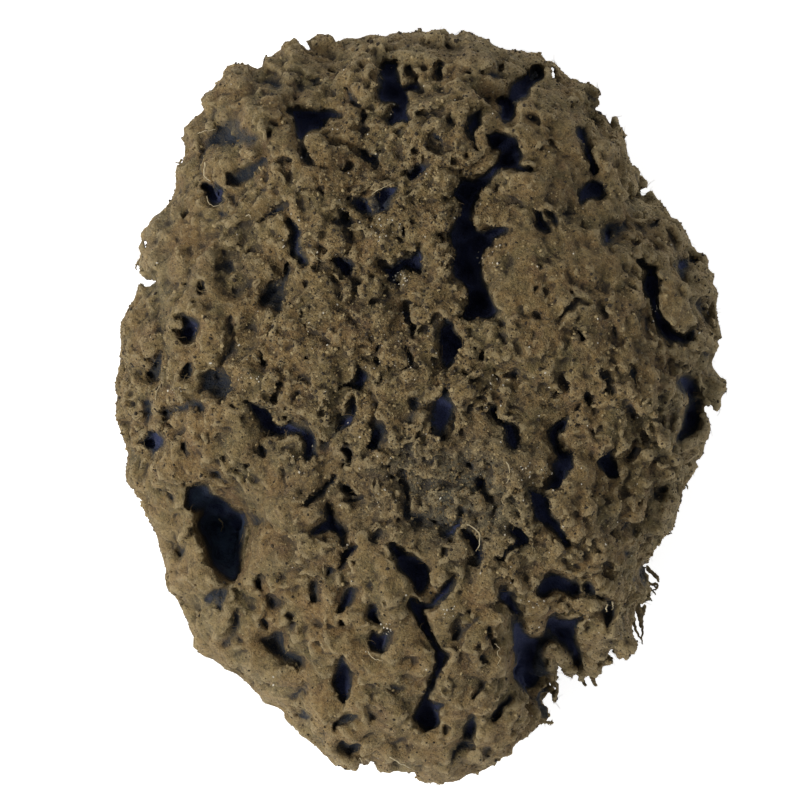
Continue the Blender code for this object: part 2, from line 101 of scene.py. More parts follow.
@dataclass(frozen=True)
class Hollow:
    """A hole with an outline of its own.

    Attributes:
        name: What it is called here.
        depth: How far it goes down from the crown, in mm.
        outline: Its edge, in pixels of the photograph.
        edge: How softly its lip turns over, in mm.
        lean: How much its walls close in for each mm down.
        wall: How thick the flesh outside and below it stays, in mm.
        navy_floor_shade: How much painted navy shade lies on its floor, as a share.
    """

    name: str
    depth: float
    outline: tuple[Point, ...]
    edge: float = 0.5
    lean: float = 0.08
    wall: float = 2.4
    navy_floor_shade: float = 0.0


@dataclass(frozen=True)
class Run:
    """A pit, slot or trough that follows beads: u, v and half width, in pixels of the photograph.

    Attributes:
        depth: How far it goes down, in mm.
        beads: Its beads, in order.
        edge: How softly its lip turns over, in mm.
        lean: How much its walls close in for each mm down.
    """

    depth: float
    beads: tuple[tuple[float, float, float], ...]
    edge: float = 0.5
    lean: float = 0.12


@dataclass(frozen=True)
class Spur:
    """Flesh that stands out into the open: beads of u, v and half width in pixels, and z in mm."""

    name: str
    beads: tuple[tuple[float, float, float, float], ...]


@dataclass(frozen=True)
class Notch:
    """A bay in the sponge's edge that is cut right through, as an outline in pixels of the photograph."""

    name: str
    outline: tuple[Point, ...]


@dataclass(frozen=True)
class Region:
    """What the skin is like round one place.

    Attributes:
        middle: The place, in pixels of the photograph.
        reach: How far it counts across and along, in pixels.
        lumps: How high its lumps stand, as a share.
        grain: How rough its fine grain is, as a share.
        crumb: How many loose crumbs lie on it, as a share.
        fleece: How much fine fleece it has, as a share.
        blades: How much of it stands up as thin blades, as a share.
        cool: How far its browns turn to a grey green, as a share.
        pale: How pale its rim at the sponge's edge is, as a share; partly paler flesh, partly painted light
            on the thin, lit edges.
    """

    middle: Point
    reach: Point
    lumps: float
    grain: float
    crumb: float
    fleece: float
    blades: float = 0.0
    cool: float = 0.1
    pale: float = 0.05


REGIONS = (
    Region((205, 130), (60, 60), 1.0, 0.5, 0.15, 0.8, pale=0.4),
    Region((180, 270), (60, 70), 0.7, 0.4, 0.08, 1.0, pale=0.25),
    Region((150, 250), (20, 34), 0.4, 0.3, 0.05, 1.0, 0.2, 0.6, 1.4),
    Region((165, 400), (45, 60), 0.9, 0.8, 0.5, 0.8, 0.3, pale=0.2),
    Region((215, 500), (60, 60), 0.7, 0.4, 0.1, 0.9, pale=0.5),
    Region((230, 610), (70, 60), 0.7, 0.3, 0.06, 0.8, pale=0.9),
    Region((290, 80), (60, 45), 0.8, 0.5, 0.25, 0.6, pale=0.5),
    Region((430, 70), (90, 45), 0.8, 0.6, 0.35, 0.4, cool=0.2, pale=1.1),
    Region((270, 200), (60, 60), 1.0, 0.6, 0.35, 0.5),
    Region((390, 210), (80, 70), 1.0, 1.0, 1.0, 0.3, 0.1),
    Region((320, 340), (70, 70), 0.8, 0.85, 0.8, 0.3),
    Region((410, 370), (60, 80), 1.0, 1.0, 1.0, 0.3, 0.2),
    Region((300, 460), (60, 50), 0.9, 0.6, 0.4, 0.5, cool=0.3),
    Region((450, 490), (80, 50), 1.0, 1.0, 0.9, 0.4, 0.4, 1.2),
    Region((330, 560), (60, 50), 0.8, 0.55, 0.3, 0.5),
    Region((545, 110), (60, 50), 0.65, 0.55, 0.25, 0.4, pale=0.3),
    Region((545, 210), (60, 40), 0.6, 0.5, 0.25, 0.3),
    Region((560, 285), (70, 50), 0.3, 0.6, 0.2, 0.2),
    Region((590, 330), (50, 40), 0.6, 0.85, 0.5, 0.2),
    Region((560, 390), (80, 50), 0.9, 0.9, 0.6, 0.3),
    Region((560, 500), (60, 50), 0.9, 0.8, 0.5, 0.4, 0.2),
    Region((660, 240), (40, 90), 1.0, 0.6, 0.2, 0.4, 0.8, 0.3, 1.2),
    Region((690, 380), (35, 90), 0.95, 0.6, 0.2, 0.4, 0.8, 0.4, 1.3),
    Region((650, 500), (45, 60), 1.0, 0.7, 0.3, 0.5, 0.9, 0.2, 1.1),
    Region((610, 610), (50, 50), 0.9, 0.65, 0.25, 0.6, 0.9, pale=0.9),
    Region((400, 610), (60, 60), 0.7, 0.45, 0.15, 0.4),
    Region((330, 710), (70, 50), 0.65, 0.35, 0.06, 0.7, pale=0.9),
    Region((450, 720), (70, 60), 0.65, 0.4, 0.1, 0.6, pale=0.7),
    Region((520, 700), (40, 50), 0.9, 0.55, 0.15, 0.6, 0.8, pale=0.3),
)

OUTLINE = (
    (266, 55), (263, 59), (263, 67), (257, 70), (255, 67), (251, 64), (246, 62), (240, 64), (234, 64),
    (228, 66), (223, 72), (220, 80), (212, 88), (203, 96), (200, 99), (202, 107), (205, 110), (198, 116),
    (192, 121), (184, 128), (184, 135), (181, 140), (185, 143), (185, 153), (182, 163), (177, 164),
    (175, 178), (176, 188), (172, 199), (167, 207), (161, 212), (157, 215), (151, 217), (147, 222),
    (142, 229), (140, 235), (142, 241), (138, 247), (140, 252), (140, 258), (136, 263), (140, 267),
    (140, 274), (146, 279), (152, 280), (160, 280), (155, 283), (150, 287), (145, 287), (141, 282),
    (138, 288), (135, 299), (127, 310), (123, 318), (121, 327), (121, 340), (118, 370), (114, 383),
    (117, 400), (116, 417), (122, 435), (128, 455), (125, 475), (128, 485), (138, 498), (147, 516),
    (156, 533), (162, 555), (166, 573), (163, 578), (168, 590), (177, 600), (185, 617), (193, 636),
    (193, 647), (197, 649), (200, 653), (207, 658), (213, 660), (221, 665), (227, 671), (234, 672),
    (240, 677), (247, 682), (252, 688), (260, 696), (264, 703), (276, 707), (281, 709), (282, 713),
    (285, 719), (292, 727), (300, 735), (310, 742), (317, 748), (325, 756), (331, 762), (336, 767),
    (347, 771), (357, 771), (359, 767), (360, 763), (368, 765), (370, 761), (374, 762), (377, 769),
    (380, 772), (391, 773), (395, 770), (403, 772), (413, 772), (415, 778), (420, 782), (426, 783),
    (435, 782), (440, 785), (444, 782), (452, 782), (460, 780), (467, 775), (474, 775), (479, 778),
    (479, 771), (483, 771), (492, 765), (495, 767), (498, 759), (501, 761), (506, 756), (513, 755),
    (512, 748), (520, 741), (527, 737), (532, 731), (534, 730), (537, 726), (543, 723), (553, 725),
    (554, 707), (557, 697), (561, 688), (561, 681), (557, 675), (557, 665), (560, 666), (564, 673),
    (568, 680), (571, 682), (573, 679), (574, 674), (577, 673), (579, 677), (577, 681), (581, 683),
    (587, 686), (588, 682), (591, 681), (592, 686), (597, 687), (600, 684), (597, 682), (597, 674),
    (602, 674), (603, 667), (610, 666), (614, 664), (611, 657), (606, 656), (609, 650), (612, 648),
    (614, 652), (616, 657), (621, 660), (622, 656), (625, 661), (629, 658), (630, 654), (632, 656),
    (636, 652), (638, 647), (637, 641), (634, 638), (632, 630), (632, 622), (635, 620), (635, 609),
    (638, 603), (642, 605), (647, 601), (651, 600), (650, 595), (652, 590), (649, 584), (649, 576),
    (650, 570), (650, 560), (653, 554), (657, 547), (660, 545), (661, 540), (670, 532), (674, 527),
    (677, 515), (677, 510), (681, 502), (682, 493), (684, 487), (692, 477), (697, 469), (702, 464),
    (700, 461), (703, 456), (705, 442), (708, 438), (710, 428), (709, 420), (705, 413), (703, 407),
    (707, 405), (712, 405), (712, 411), (718, 412), (720, 407), (721, 398), (726, 391), (727, 384),
    (725, 378), (721, 378), (717, 373), (712, 367), (713, 358), (717, 351), (720, 346), (717, 340),
    (722, 339), (720, 330), (719, 322), (716, 307), (718, 295), (716, 283), (715, 272), (713, 274),
    (708, 268), (710, 262), (708, 259), (706, 254), (699, 253), (697, 252), (692, 244), (689, 237),
    (685, 232), (683, 227), (677, 219), (671, 218), (668, 212), (663, 206), (661, 201), (656, 199),
    (652, 191), (646, 192), (645, 197), (642, 197), (639, 190), (643, 189), (648, 187), (648, 182),
    (643, 177), (642, 173), (638, 167), (633, 164), (633, 168), (629, 160), (627, 152), (626, 145),
    (624, 137), (627, 136), (623, 130), (619, 125), (619, 120), (615, 116), (612, 117), (611, 120),
    (612, 127), (609, 122), (606, 117), (602, 115), (599, 111), (594, 110), (595, 108), (599, 105),
    (599, 102), (597, 101), (600, 95), (599, 89), (594, 87), (592, 83), (582, 83), (577, 79), (570, 78),
    (566, 75), (562, 72), (559, 67), (555, 63), (546, 60), (541, 55), (542, 52), (536, 53), (531, 52),
    (527, 53), (521, 50), (502, 50), (498, 47), (492, 45), (489, 41), (482, 38), (477, 35), (468, 32),
    (463, 31), (456, 36), (450, 35), (446, 30), (438, 29), (428, 33), (424, 32), (422, 27), (418, 30),
    (411, 33), (390, 33), (385, 37), (379, 35), (367, 35), (357, 39), (351, 37), (344, 39), (338, 42),
    (334, 42), (334, 36), (319, 34), (305, 41), (308, 44), (311, 51), (307, 51), (305, 47), (300, 44),
    (297, 39), (294, 37), (290, 41), (282, 45), (277, 51), (272, 57),
)

HOLLOWS = (
    Hollow("great hollow", 18, (
        (188, 488), (195, 484), (208, 484), (215, 492), (226, 499), (234, 508), (241, 512), (254, 512),
        (262, 521), (253, 525), (252, 535), (247, 542), (242, 550), (240, 561), (240, 571), (235, 582),
        (229, 579), (221, 573), (213, 566), (208, 557), (206, 547), (204, 538), (199, 531), (197, 522),
        (201, 515), (192, 510), (187, 506)), lean=-0.02, navy_floor_shade=1.0),
    Hollow("wedge over the great hollow", 5, (
        (205, 472), (218, 465), (223, 475), (230, 483), (240, 491), (236, 492), (224, 484),
        (214, 478)), 0.8),
    Hollow("long crack", 21, (
        (461, 180), (455, 190), (451, 198), (460, 203), (461, 212), (454, 220), (449, 234), (452, 246),
        (455, 255), (450, 262), (449, 269), (453, 279), (460, 284), (466, 290), (467, 302), (464, 312),
        (460, 321), (470, 322), (481, 320), (493, 318), (497, 311), (492, 302), (488, 294), (486, 282),
        (483, 270), (483, 256), (485, 249), (492, 249), (492, 241), (497, 237), (505, 235), (507, 229),
        (497, 228), (485, 231), (478, 232), (474, 224), (473, 212), (475, 202), (479, 194), (489, 186),
        (488, 178), (478, 177), (470, 182)), lean=0.02),
    Hollow("tail of the long crack", 14, (
        (444, 320), (456, 322), (455, 332), (462, 340), (463, 347), (458, 357), (452, 364), (446, 372),
        (442, 366), (440, 352), (439, 340), (441, 328)), lean=0.05),
    Hollow("head of the long crack", 16, (
        (487, 137), (497, 133), (507, 134), (515, 140), (518, 152), (522, 158), (520, 167), (531, 170),
        (533, 173), (524, 176), (512, 170), (500, 173), (490, 182), (480, 186), (483, 176), (488, 170),
        (495, 163), (500, 153), (492, 151), (489, 144)), lean=0.04),
    Hollow("upper right pit", 14, (
        (532, 64), (541, 66), (545, 75), (541, 84), (531, 89), (527, 99), (515, 104), (514, 117),
        (509, 124), (502, 123), (497, 113), (497, 99), (508, 98), (511, 84), (521, 80),
        (527, 70)), lean=0.04),
    Hollow("nick", 5, ((485, 73), (499, 72), (502, 80), (494, 80), (487, 77))),
    Hollow("slot left of the upper right pit", 9, (
        (470, 114), (482, 112), (481, 120), (483, 127), (476, 131), (475, 140), (474, 152), (470, 142),
        (466, 130), (467, 120))),
    Hollow("upper middle well", 14, (
        (385, 63), (396, 64), (399, 72), (400, 82), (403, 88), (409, 84), (415, 83), (421, 89), (418, 93),
        (406, 92), (410, 98), (411, 104), (408, 112), (409, 121), (407, 125), (400, 123), (392, 127),
        (386, 124), (388, 119), (393, 117), (391, 110), (397, 108), (396, 105), (384, 105), (378, 103),
        (377, 92), (377, 80), (379, 71)), lean=0.06),
    Hollow("nick beside it", 6, ((404, 68), (410, 66), (413, 71), (415, 78), (410, 79), (406, 74))),
    Hollow("left well under the upper ledge", 11, (
        (285, 112), (300, 110), (315, 109), (330, 111), (341, 113), (341, 118), (326, 121), (327, 126),
        (323, 132), (312, 134), (306, 136), (302, 142), (297, 141), (294, 134), (296, 126), (295, 118),
        (290, 115)), lean=0.05),
    Hollow("slant slot", 6, (
        (346, 89), (350, 88), (353, 93), (354, 99), (358, 108), (355, 109), (350, 101))),
    Hollow("short slot", 5, (
        (362, 113), (365, 112), (367, 119), (366, 128), (364, 133), (361, 130), (361, 120))),
    Hollow("dip", 3.5, ((325, 141), (330, 139), (337, 140), (335, 144), (330, 146)), 0.8),
    Hollow("pit under the left well", 7, (
        (303, 147), (307, 149), (310, 156), (313, 161), (310, 166), (305, 166), (302, 160),
        (302, 152)), 0.7),
    Hollow("Y pit", 8, (
        (360, 150), (364, 151), (368, 155), (377, 157), (378, 160), (375, 165), (375, 173), (373, 173),
        (371, 167), (366, 163), (362, 158))),
    Hollow("centre pit", 9, (
        (406, 178), (411, 172), (417, 167), (424, 166), (427, 170), (422, 177), (418, 182), (410, 184))),
    Hollow("upper left trough", 7, (
        (200, 138), (204, 131), (216, 130), (222, 121), (233, 117), (244, 123), (252, 130), (262, 137),
        (258, 147), (246, 151), (238, 149), (228, 147), (218, 150), (206, 149)), 1.4),
    Hollow("left hole", 11, (
        (202, 182), (216, 181), (220, 186), (224, 191), (225, 195), (222, 200), (225, 203), (220, 207),
        (215, 208), (210, 205), (208, 199), (207, 193), (203, 190)), lean=0.03),
    Hollow("nick below the left hole", 6, ((222, 211), (229, 214), (230, 219), (220, 220), (218, 215))),
    Hollow("small nick", 3, ((209, 220), (215, 219), (216, 224), (210, 225))),
    Hollow("left wedge", 7, (
        (258, 222), (264, 218), (270, 213), (276, 208), (281, 206), (284, 211), (280, 214), (272, 216),
        (266, 220))),
    Hollow("hook", 7, (
        (215, 270), (219, 264), (226, 262), (234, 262), (236, 270), (233, 274), (229, 270), (222, 267))),
    Hollow("left keyhole", 10, (
        (182, 317), (188, 319), (195, 318), (201, 323), (201, 330), (197, 337), (192, 341), (186, 341),
        (181, 338), (180, 335), (184, 329), (184, 322)), lean=0.03),
    Hollow("left well", 9, (
        (188, 362), (193, 363), (196, 370), (194, 377), (189, 381), (184, 382), (182, 376), (183, 368))),
    Hollow("edge pit above", 7, (
        (154, 358), (160, 354), (166, 357), (168, 366), (163, 373), (157, 381), (152, 378),
        (147, 373)), 0.8),
    Hollow("edge pit between", 7, (
        (141, 400), (150, 398), (155, 402), (154, 415), (150, 428), (144, 430), (142, 415)), 0.9),
    Hollow("edge pit below", 12, (
        (150, 432), (158, 429), (164, 433), (167, 441), (165, 449), (158, 455), (151, 460), (149, 450),
        (145, 445), (141, 442))),
    Hollow("left square pit", 9, (
        (200, 377), (205, 371), (215, 369), (225, 371), (233, 374), (237, 382), (236, 390), (230, 396),
        (222, 398), (214, 398), (207, 393), (202, 388)), 0.8, 0.12),
    Hollow("bent pit", 9, (
        (348, 197), (352, 195), (357, 198), (366, 200), (373, 198), (376, 193), (383, 190), (393, 184),
        (399, 187), (396, 196), (392, 201), (392, 208), (385, 212), (378, 213), (370, 217), (357, 214),
        (352, 208), (349, 203)), lean=0.08),
    Hollow("grey pit below it", 6, (
        (331, 223), (334, 219), (342, 216), (352, 218), (358, 220), (357, 224), (350, 228),
        (342, 229)), 0.8),
    Hollow("stepped pit", 8, (
        (285, 222), (290, 220), (297, 222), (300, 228), (303, 234), (301, 241), (303, 248), (306, 255),
        (310, 258), (309, 264), (304, 268), (298, 264), (297, 258), (287, 256), (291, 250), (290, 241),
        (294, 232), (288, 228))),
    Hollow("square pit", 10, (
        (331, 262), (333, 259), (338, 257), (344, 260), (352, 260), (353, 266), (351, 271), (352, 278),
        (348, 279), (344, 278), (341, 273), (336, 269))),
    Hollow("broad left hollow", 9, (
        (262, 286), (270, 282), (279, 283), (283, 277), (283, 264), (289, 263), (292, 270), (289, 280),
        (287, 290), (287, 299), (285, 313), (279, 313), (274, 310), (266, 308), (260, 300)), 1.0, 0.15),
    Hollow("branching pit", 10, (
        (380, 261), (384, 263), (390, 267), (396, 263), (404, 259), (413, 256), (421, 250), (424, 258),
        (422, 270), (419, 276), (414, 273), (406, 268), (400, 273), (397, 281), (401, 288), (396, 290),
        (390, 282), (387, 275), (383, 269))),
    Hollow("comma", 7, (
        (402, 311), (406, 309), (410, 312), (410, 318), (413, 324), (415, 330), (412, 335), (409, 333),
        (409, 328), (404, 321))),
    Hollow("winding crack", 10, (
        (245, 400), (256, 402), (266, 408), (272, 412), (277, 424), (284, 425), (289, 421), (296, 425),
        (305, 427), (312, 430), (317, 436), (319, 446), (318, 453), (313, 458), (307, 459), (304, 455),
        (306, 446), (303, 439), (303, 433), (294, 432), (284, 435), (274, 434), (264, 428),
        (256, 418)), lean=0.08),
    Hollow("middle crack below", 8, (
        (320, 444), (327, 440), (334, 433), (338, 427), (341, 421), (348, 415), (351, 406), (352, 400),
        (356, 399), (358, 405), (357, 413), (352, 425), (345, 429), (338, 433), (331, 440), (324, 447))),
    Hollow("middle crack above", 9, (
        (338, 391), (344, 386), (354, 383), (357, 374), (358, 368), (363, 370), (368, 374), (375, 374),
        (370, 379), (366, 384), (362, 390), (356, 388), (350, 389))),
    Hollow("dart", 8, ((343, 444), (348, 446), (354, 452), (354, 464), (351, 466), (348, 460), (345, 453))),
    Hollow("leaning pit", 10, (
        (372, 427), (376, 424), (382, 424), (385, 428), (384, 434), (380, 441), (377, 448), (370, 452),
        (366, 447), (370, 440), (371, 434))),
    Hollow("curved crack", 6, (
        (303, 502), (310, 496), (316, 490), (326, 483), (331, 478), (334, 472), (337, 474), (337, 481),
        (331, 486), (326, 492), (317, 498), (309, 504))),
    Hollow("bean", 8, ((340, 482), (346, 481), (352, 485), (354, 490), (350, 493), (344, 489))),
    Hollow("branching hollow", 10, (
        (328, 508), (330, 503), (333, 508), (335, 516), (340, 521), (345, 526), (346, 533), (343, 538),
        (344, 545), (340, 545), (341, 538), (338, 532), (330, 530), (320, 534), (313, 536), (311, 530),
        (317, 523), (327, 518))),
    Hollow("branch of it", 9, (
        (342, 553), (347, 548), (353, 544), (359, 546), (358, 550), (352, 554), (346, 560), (341, 566),
        (340, 559))),
    Hollow("ear", 6, ((371, 538), (372, 532), (377, 529), (383, 530), (380, 535), (375, 539)), 0.7),
    Hollow("forked crack, upper arm", 14, (
        (389, 541), (394, 543), (400, 548), (406, 554), (418, 556), (425, 561), (428, 570), (428, 580),
        (424, 590), (419, 594), (413, 590), (411, 582), (408, 577), (403, 572), (399, 566), (396, 556),
        (391, 549)), lean=0.03),
    Hollow("forked crack, right arm", 13, (
        (453, 575), (454, 580), (451, 589), (446, 596), (438, 601), (431, 605), (423, 608), (426, 614),
        (430, 622), (432, 630), (436, 640), (440, 648), (448, 652), (445, 657), (440, 670), (436, 680),
        (432, 692), (430, 698), (436, 702), (446, 704), (441, 710), (441, 720), (439, 725), (425, 731),
        (419, 726), (412, 717), (413, 712), (421, 703), (426, 692), (431, 678), (434, 665), (435, 655),
        (433, 645), (427, 637), (421, 628), (417, 618), (411, 610), (408, 603), (409, 596), (415, 597),
        (420, 601), (430, 600), (433, 592), (440, 585)), lean=0.03),
    Hollow("soft pit", 6, (
        (313, 580), (319, 580), (320, 586), (319, 593), (321, 600), (315, 600), (312, 590)), 0.7),
    Hollow("leaning leaf", 8, (
        (345, 588), (350, 584), (354, 586), (355, 592), (354, 598), (349, 604), (344, 609), (340, 611),
        (339, 604), (341, 596))),
    Hollow("twin pit above", 9, (
        (369, 604), (374, 604), (378, 606), (377, 612), (380, 618), (381, 623), (377, 621), (371, 618),
        (366, 614), (367, 608)), 0.6),
    Hollow("twin pit below", 10, (
        (372, 632), (376, 630), (380, 634), (386, 632), (392, 632), (391, 637), (388, 644), (384, 650),
        (380, 652), (374, 649), (370, 643), (369, 636))),
    Hollow("crescent", 7, (
        (262, 640), (270, 635), (276, 630), (283, 626), (292, 626), (288, 632), (286, 640), (287, 648),
        (292, 651), (300, 653), (305, 657), (305, 664), (299, 665), (294, 660), (282, 660),
        (274, 653)), 1.0),
    Hollow("lower eye", 10, (
        (342, 656), (346, 660), (351, 666), (353, 674), (353, 684), (351, 691), (348, 698), (344, 700),
        (340, 697), (336, 690), (334, 682), (335, 672), (338, 664)), 0.5, 0.06),
    Hollow("lower left notch", 7, (
        (296, 713), (301, 709), (305, 705), (306, 712), (310, 715), (308, 719), (302, 720), (298, 717))),
    Hollow("slanting dip", 4, (
        (284, 690), (290, 692), (296, 689), (304, 680), (303, 690), (297, 696), (289, 700)), 0.8),
    Hollow("lower slit", 6, (
        (341, 716), (346, 713), (353, 712), (359, 713), (356, 718), (349, 720), (343, 723), (334, 728),
        (334, 722)), 0.6),
    Hollow("bottom hollow", 7, (
        (337, 742), (342, 738), (348, 742), (357, 740), (360, 744), (359, 750), (352, 755),
        (344, 750)), 0.7),
    Hollow("bottom lip", 4, ((383, 745), (388, 738), (396, 739), (404, 735), (405, 740), (397, 745)), 0.8),
    Hollow("tongue pit", 3, ((365, 706), (370, 706), (374, 711), (376, 717), (371, 718), (367, 713)), 0.8),
    Hollow("heart pit", 10, (
        (447, 390), (449, 397), (454, 402), (455, 407), (450, 415), (449, 421), (444, 430), (440, 437),
        (434, 433), (431, 424), (427, 418), (433, 410), (432, 403), (436, 397), (441, 395))),
    Hollow("worm crack", 10, (
        (487, 405), (492, 404), (497, 408), (497, 415), (502, 422), (510, 423), (517, 430), (518, 440),
        (516, 450), (510, 452), (507, 445), (503, 436), (500, 426), (494, 418), (489, 411))),
    Hollow("shallow arm", 3.5, (
        (481, 391), (483, 385), (492, 381), (499, 377), (506, 375), (511, 370), (517, 371), (519, 377),
        (512, 380), (503, 380), (496, 386), (488, 388)), 0.6),
    Hollow("winding well", 10, (
        (556, 420), (564, 416), (566, 422), (564, 430), (557, 433), (556, 441), (560, 451), (571, 452),
        (573, 466), (565, 480), (560, 488), (547, 490), (541, 490), (548, 483), (553, 477), (551, 468),
        (549, 463), (556, 460), (556, 453), (549, 442), (546, 432), (550, 427)), lean=0.05),
    Hollow("leaping crack", 11, (
        (526, 488), (532, 487), (540, 491), (546, 495), (546, 506), (552, 517), (559, 525), (564, 534),
        (569, 545), (563, 547), (556, 537), (550, 527), (542, 522), (532, 520), (531, 511), (528, 500))),
    Hollow("beak", 8, ((470, 477), (478, 475), (486, 479), (486, 488), (483, 491), (477, 487), (472, 481))),
    Hollow("bird", 10, (
        (506, 527), (512, 526), (520, 526), (524, 531), (529, 534), (528, 543), (520, 545), (515, 548),
        (507, 552), (501, 558), (497, 563), (497, 557), (505, 548), (512, 542), (515, 538), (509, 533))),
    Hollow("right lower pit", 10, (
        (500, 587), (506, 585), (510, 590), (511, 598), (516, 605), (521, 612), (519, 617), (514, 614),
        (506, 606), (499, 598), (498, 592))),
    Hollow("shallow green pit", 5, (
        (455, 622), (460, 620), (462, 628), (456, 637), (451, 638), (452, 628)), 0.8),
    Hollow("torn hollow", 17, (
        (513, 618), (520, 621), (526, 630), (533, 635), (542, 634), (544, 625), (546, 616), (555, 611),
        (556, 617), (576, 618), (581, 617), (577, 625), (575, 635), (578, 645), (581, 655), (583, 664),
        (578, 668), (573, 660), (569, 652), (563, 645), (555, 640), (549, 641), (544, 647), (542, 655),
        (545, 662), (547, 668), (551, 675), (552, 685), (551, 695), (553, 706), (553, 715), (549, 720),
        (541, 718), (540, 710), (533, 700), (524, 692), (518, 685), (512, 678), (510, 668), (509, 660),
        (511, 650), (512, 630)), lean=0.0, wall=0.8),
    Hollow("pocket above it", 11, (
        (543, 577), (551, 571), (560, 574), (574, 578), (579, 584), (578, 592), (571, 594), (566, 592),
        (552, 590), (543, 595), (535, 592), (536, 586))),
    Hollow("running crack", 8, (
        (581, 584), (587, 580), (592, 583), (593, 590), (602, 593), (608, 596), (614, 601), (616, 609),
        (612, 606), (604, 599), (595, 596), (585, 596))),
    Hollow("fingered pit", 9, (
        (601, 607), (606, 603), (613, 602), (615, 610), (611, 618), (608, 626), (605, 625), (602, 616))),
    Hollow("edge slit", 5, (
        (623, 612), (628, 610), (627, 617), (625, 626), (624, 634), (620, 640), (617, 635), (616, 627))),
    Hollow("edge dark", 7, (
        (638, 549), (641, 549), (643, 560), (648, 567), (650, 574), (648, 582), (648, 590), (640, 592),
        (634, 591), (633, 582), (632, 577), (637, 570), (639, 562)), 0.7, wall=0.8),
    Hollow("lower pocket", 8, (
        (488, 713), (491, 708), (496, 703), (503, 699), (509, 692), (514, 691), (512, 698), (507, 703),
        (503, 707), (500, 714), (496, 720), (490, 721))),
    Hollow("lower dart", 8, (
        (463, 735), (463, 726), (466, 719), (470, 715), (474, 715), (474, 724), (475, 731), (471, 738))),
    Hollow("bottom split", 6, (
        (457, 743), (463, 738), (475, 742), (476, 746), (462, 748), (458, 752), (455, 760), (452, 768),
        (450, 768), (452, 755), (454, 747)), 0.6),
    Hollow("bottom right dip", 5, (
        (482, 745), (491, 744), (494, 749), (491, 754), (496, 757), (491, 764), (486, 766),
        (483, 756)), 0.8),
    Hollow("small split", 6, (
        (475, 689), (478, 684), (481, 679), (485, 679), (485, 685), (480, 687), (474, 697), (472, 696))),
    Hollow("right crack", 15, (
        (635, 262), (641, 261), (650, 267), (656, 268), (652, 275), (660, 280), (658, 287), (657, 299),
        (657, 308), (661, 314), (668, 322), (672, 330), (679, 335), (684, 336), (690, 330), (695, 328),
        (698, 333), (692, 339), (683, 344), (672, 343), (664, 340), (658, 330), (655, 322), (651, 310),
        (648, 300), (643, 295), (641, 287), (641, 279), (646, 271), (641, 266)), lean=0.02),
    Hollow("right slot", 11, (
        (672, 268), (675, 263), (680, 260), (688, 258), (703, 257), (697, 263), (690, 268), (683, 272),
        (686, 280), (683, 281), (678, 276)), lean=0.05),
    Hollow("right grey hollow", 9, (
        (692, 302), (698, 299), (705, 300), (711, 303), (712, 312), (711, 326), (708, 334), (703, 333),
        (704, 328), (699, 324), (697, 316)), 0.8, wall=0.8),
    Hollow("upper right grey hollow", 9, (
        (575, 200), (576, 192), (582, 186), (590, 182), (597, 180), (604, 183), (604, 194), (600, 199),
        (592, 199), (586, 203), (579, 208)), 0.6),
    Hollow("small pit right", 6, (
        (624, 210), (628, 206), (632, 205), (634, 210), (635, 216), (631, 218), (627, 214))),
    Hollow("small slot right", 6, (
        (632, 224), (637, 223), (642, 227), (648, 226), (654, 222), (660, 219), (657, 226), (650, 231),
        (643, 231), (637, 229))),
    Hollow("round hole right", 6, ((629, 241), (633, 242), (637, 242), (637, 246), (632, 247))),
    Hollow("ring hollow", 5.5, (
        (601, 240), (600, 232), (604, 227), (610, 222), (624, 221), (629, 226), (626, 233), (618, 238),
        (612, 240), (607, 247), (610, 254), (606, 252)), 0.7),
    Hollow("ring hollow, dark side", 9, (
        (601, 241), (601, 233), (605, 228), (610, 231), (611, 238), (606, 245), (604, 248))),
    Hollow("edge bay", 12, (
        (675, 382), (679, 376), (686, 376), (694, 378), (697, 381), (696, 397), (702, 399), (703, 405),
        (700, 412), (700, 422), (697, 431), (690, 436), (681, 442), (674, 440), (675, 434), (680, 428),
        (682, 415), (684, 404), (684, 396), (679, 391)), lean=0.03, wall=0.8),
    Hollow("slit under the knob", 7, ((702, 353), (706, 352), (711, 355), (709, 358), (703, 358))),
    Hollow("right middle slot", 6, (
        (627, 369), (631, 367), (637, 372), (634, 378), (636, 384), (633, 390), (630, 387), (631, 380))),
    Hollow("right middle nick", 6, (
        (598, 370), (603, 373), (609, 378), (611, 385), (607, 388), (604, 381), (599, 376))),
    Hollow("twin nick above", 7, ((585, 392), (589, 392), (591, 396), (589, 402), (585, 401), (583, 397))),
    Hollow("twin nick below", 6, ((571, 411), (575, 408), (580, 404), (579, 409), (576, 413), (572, 414))),
    Hollow("right well", 11, (
        (594, 462), (600, 457), (604, 452), (609, 449), (612, 452), (612, 459), (616, 463), (618, 476),
        (612, 478), (606, 476), (602, 471))),
    Hollow("slot beside the right well", 7, (
        (619, 455), (624, 452), (631, 448), (637, 447), (638, 450), (632, 455), (625, 457))),
    Hollow("slot above the right well", 6, (
        (640, 445), (645, 440), (652, 438), (656, 437), (650, 441), (645, 446))),
    Hollow("double pit left", 6, (
        (648, 487), (651, 483), (654, 482), (653, 488), (656, 492), (655, 496), (650, 495))),
    Hollow("double pit right", 6, ((656, 494), (660, 486), (666, 484), (664, 491), (660, 497))),
    Hollow("right hook", 6, (
        (621, 521), (626, 521), (632, 524), (636, 529), (637, 534), (634, 538), (630, 534), (626, 527),
        (619, 526)), 0.6),
    Hollow("right speck", 6, ((621, 551), (625, 549), (631, 550), (632, 554), (628, 558), (623, 557))),
    Hollow("double bend", 9, (
        (578, 127), (584, 129), (587, 138), (588, 146), (592, 153), (594, 163), (597, 172), (594, 178),
        (588, 176), (589, 168), (586, 160), (584, 150), (577, 141), (574, 131)), 0.5),
    Hollow("upper right edge slot", 8, (
        (628, 168), (633, 170), (638, 177), (643, 184), (640, 188), (634, 184), (630, 176))),
    Hollow("upper right bow", 8, (
        (534, 213), (541, 213), (542, 222), (549, 228), (550, 234), (541, 234), (535, 226))),
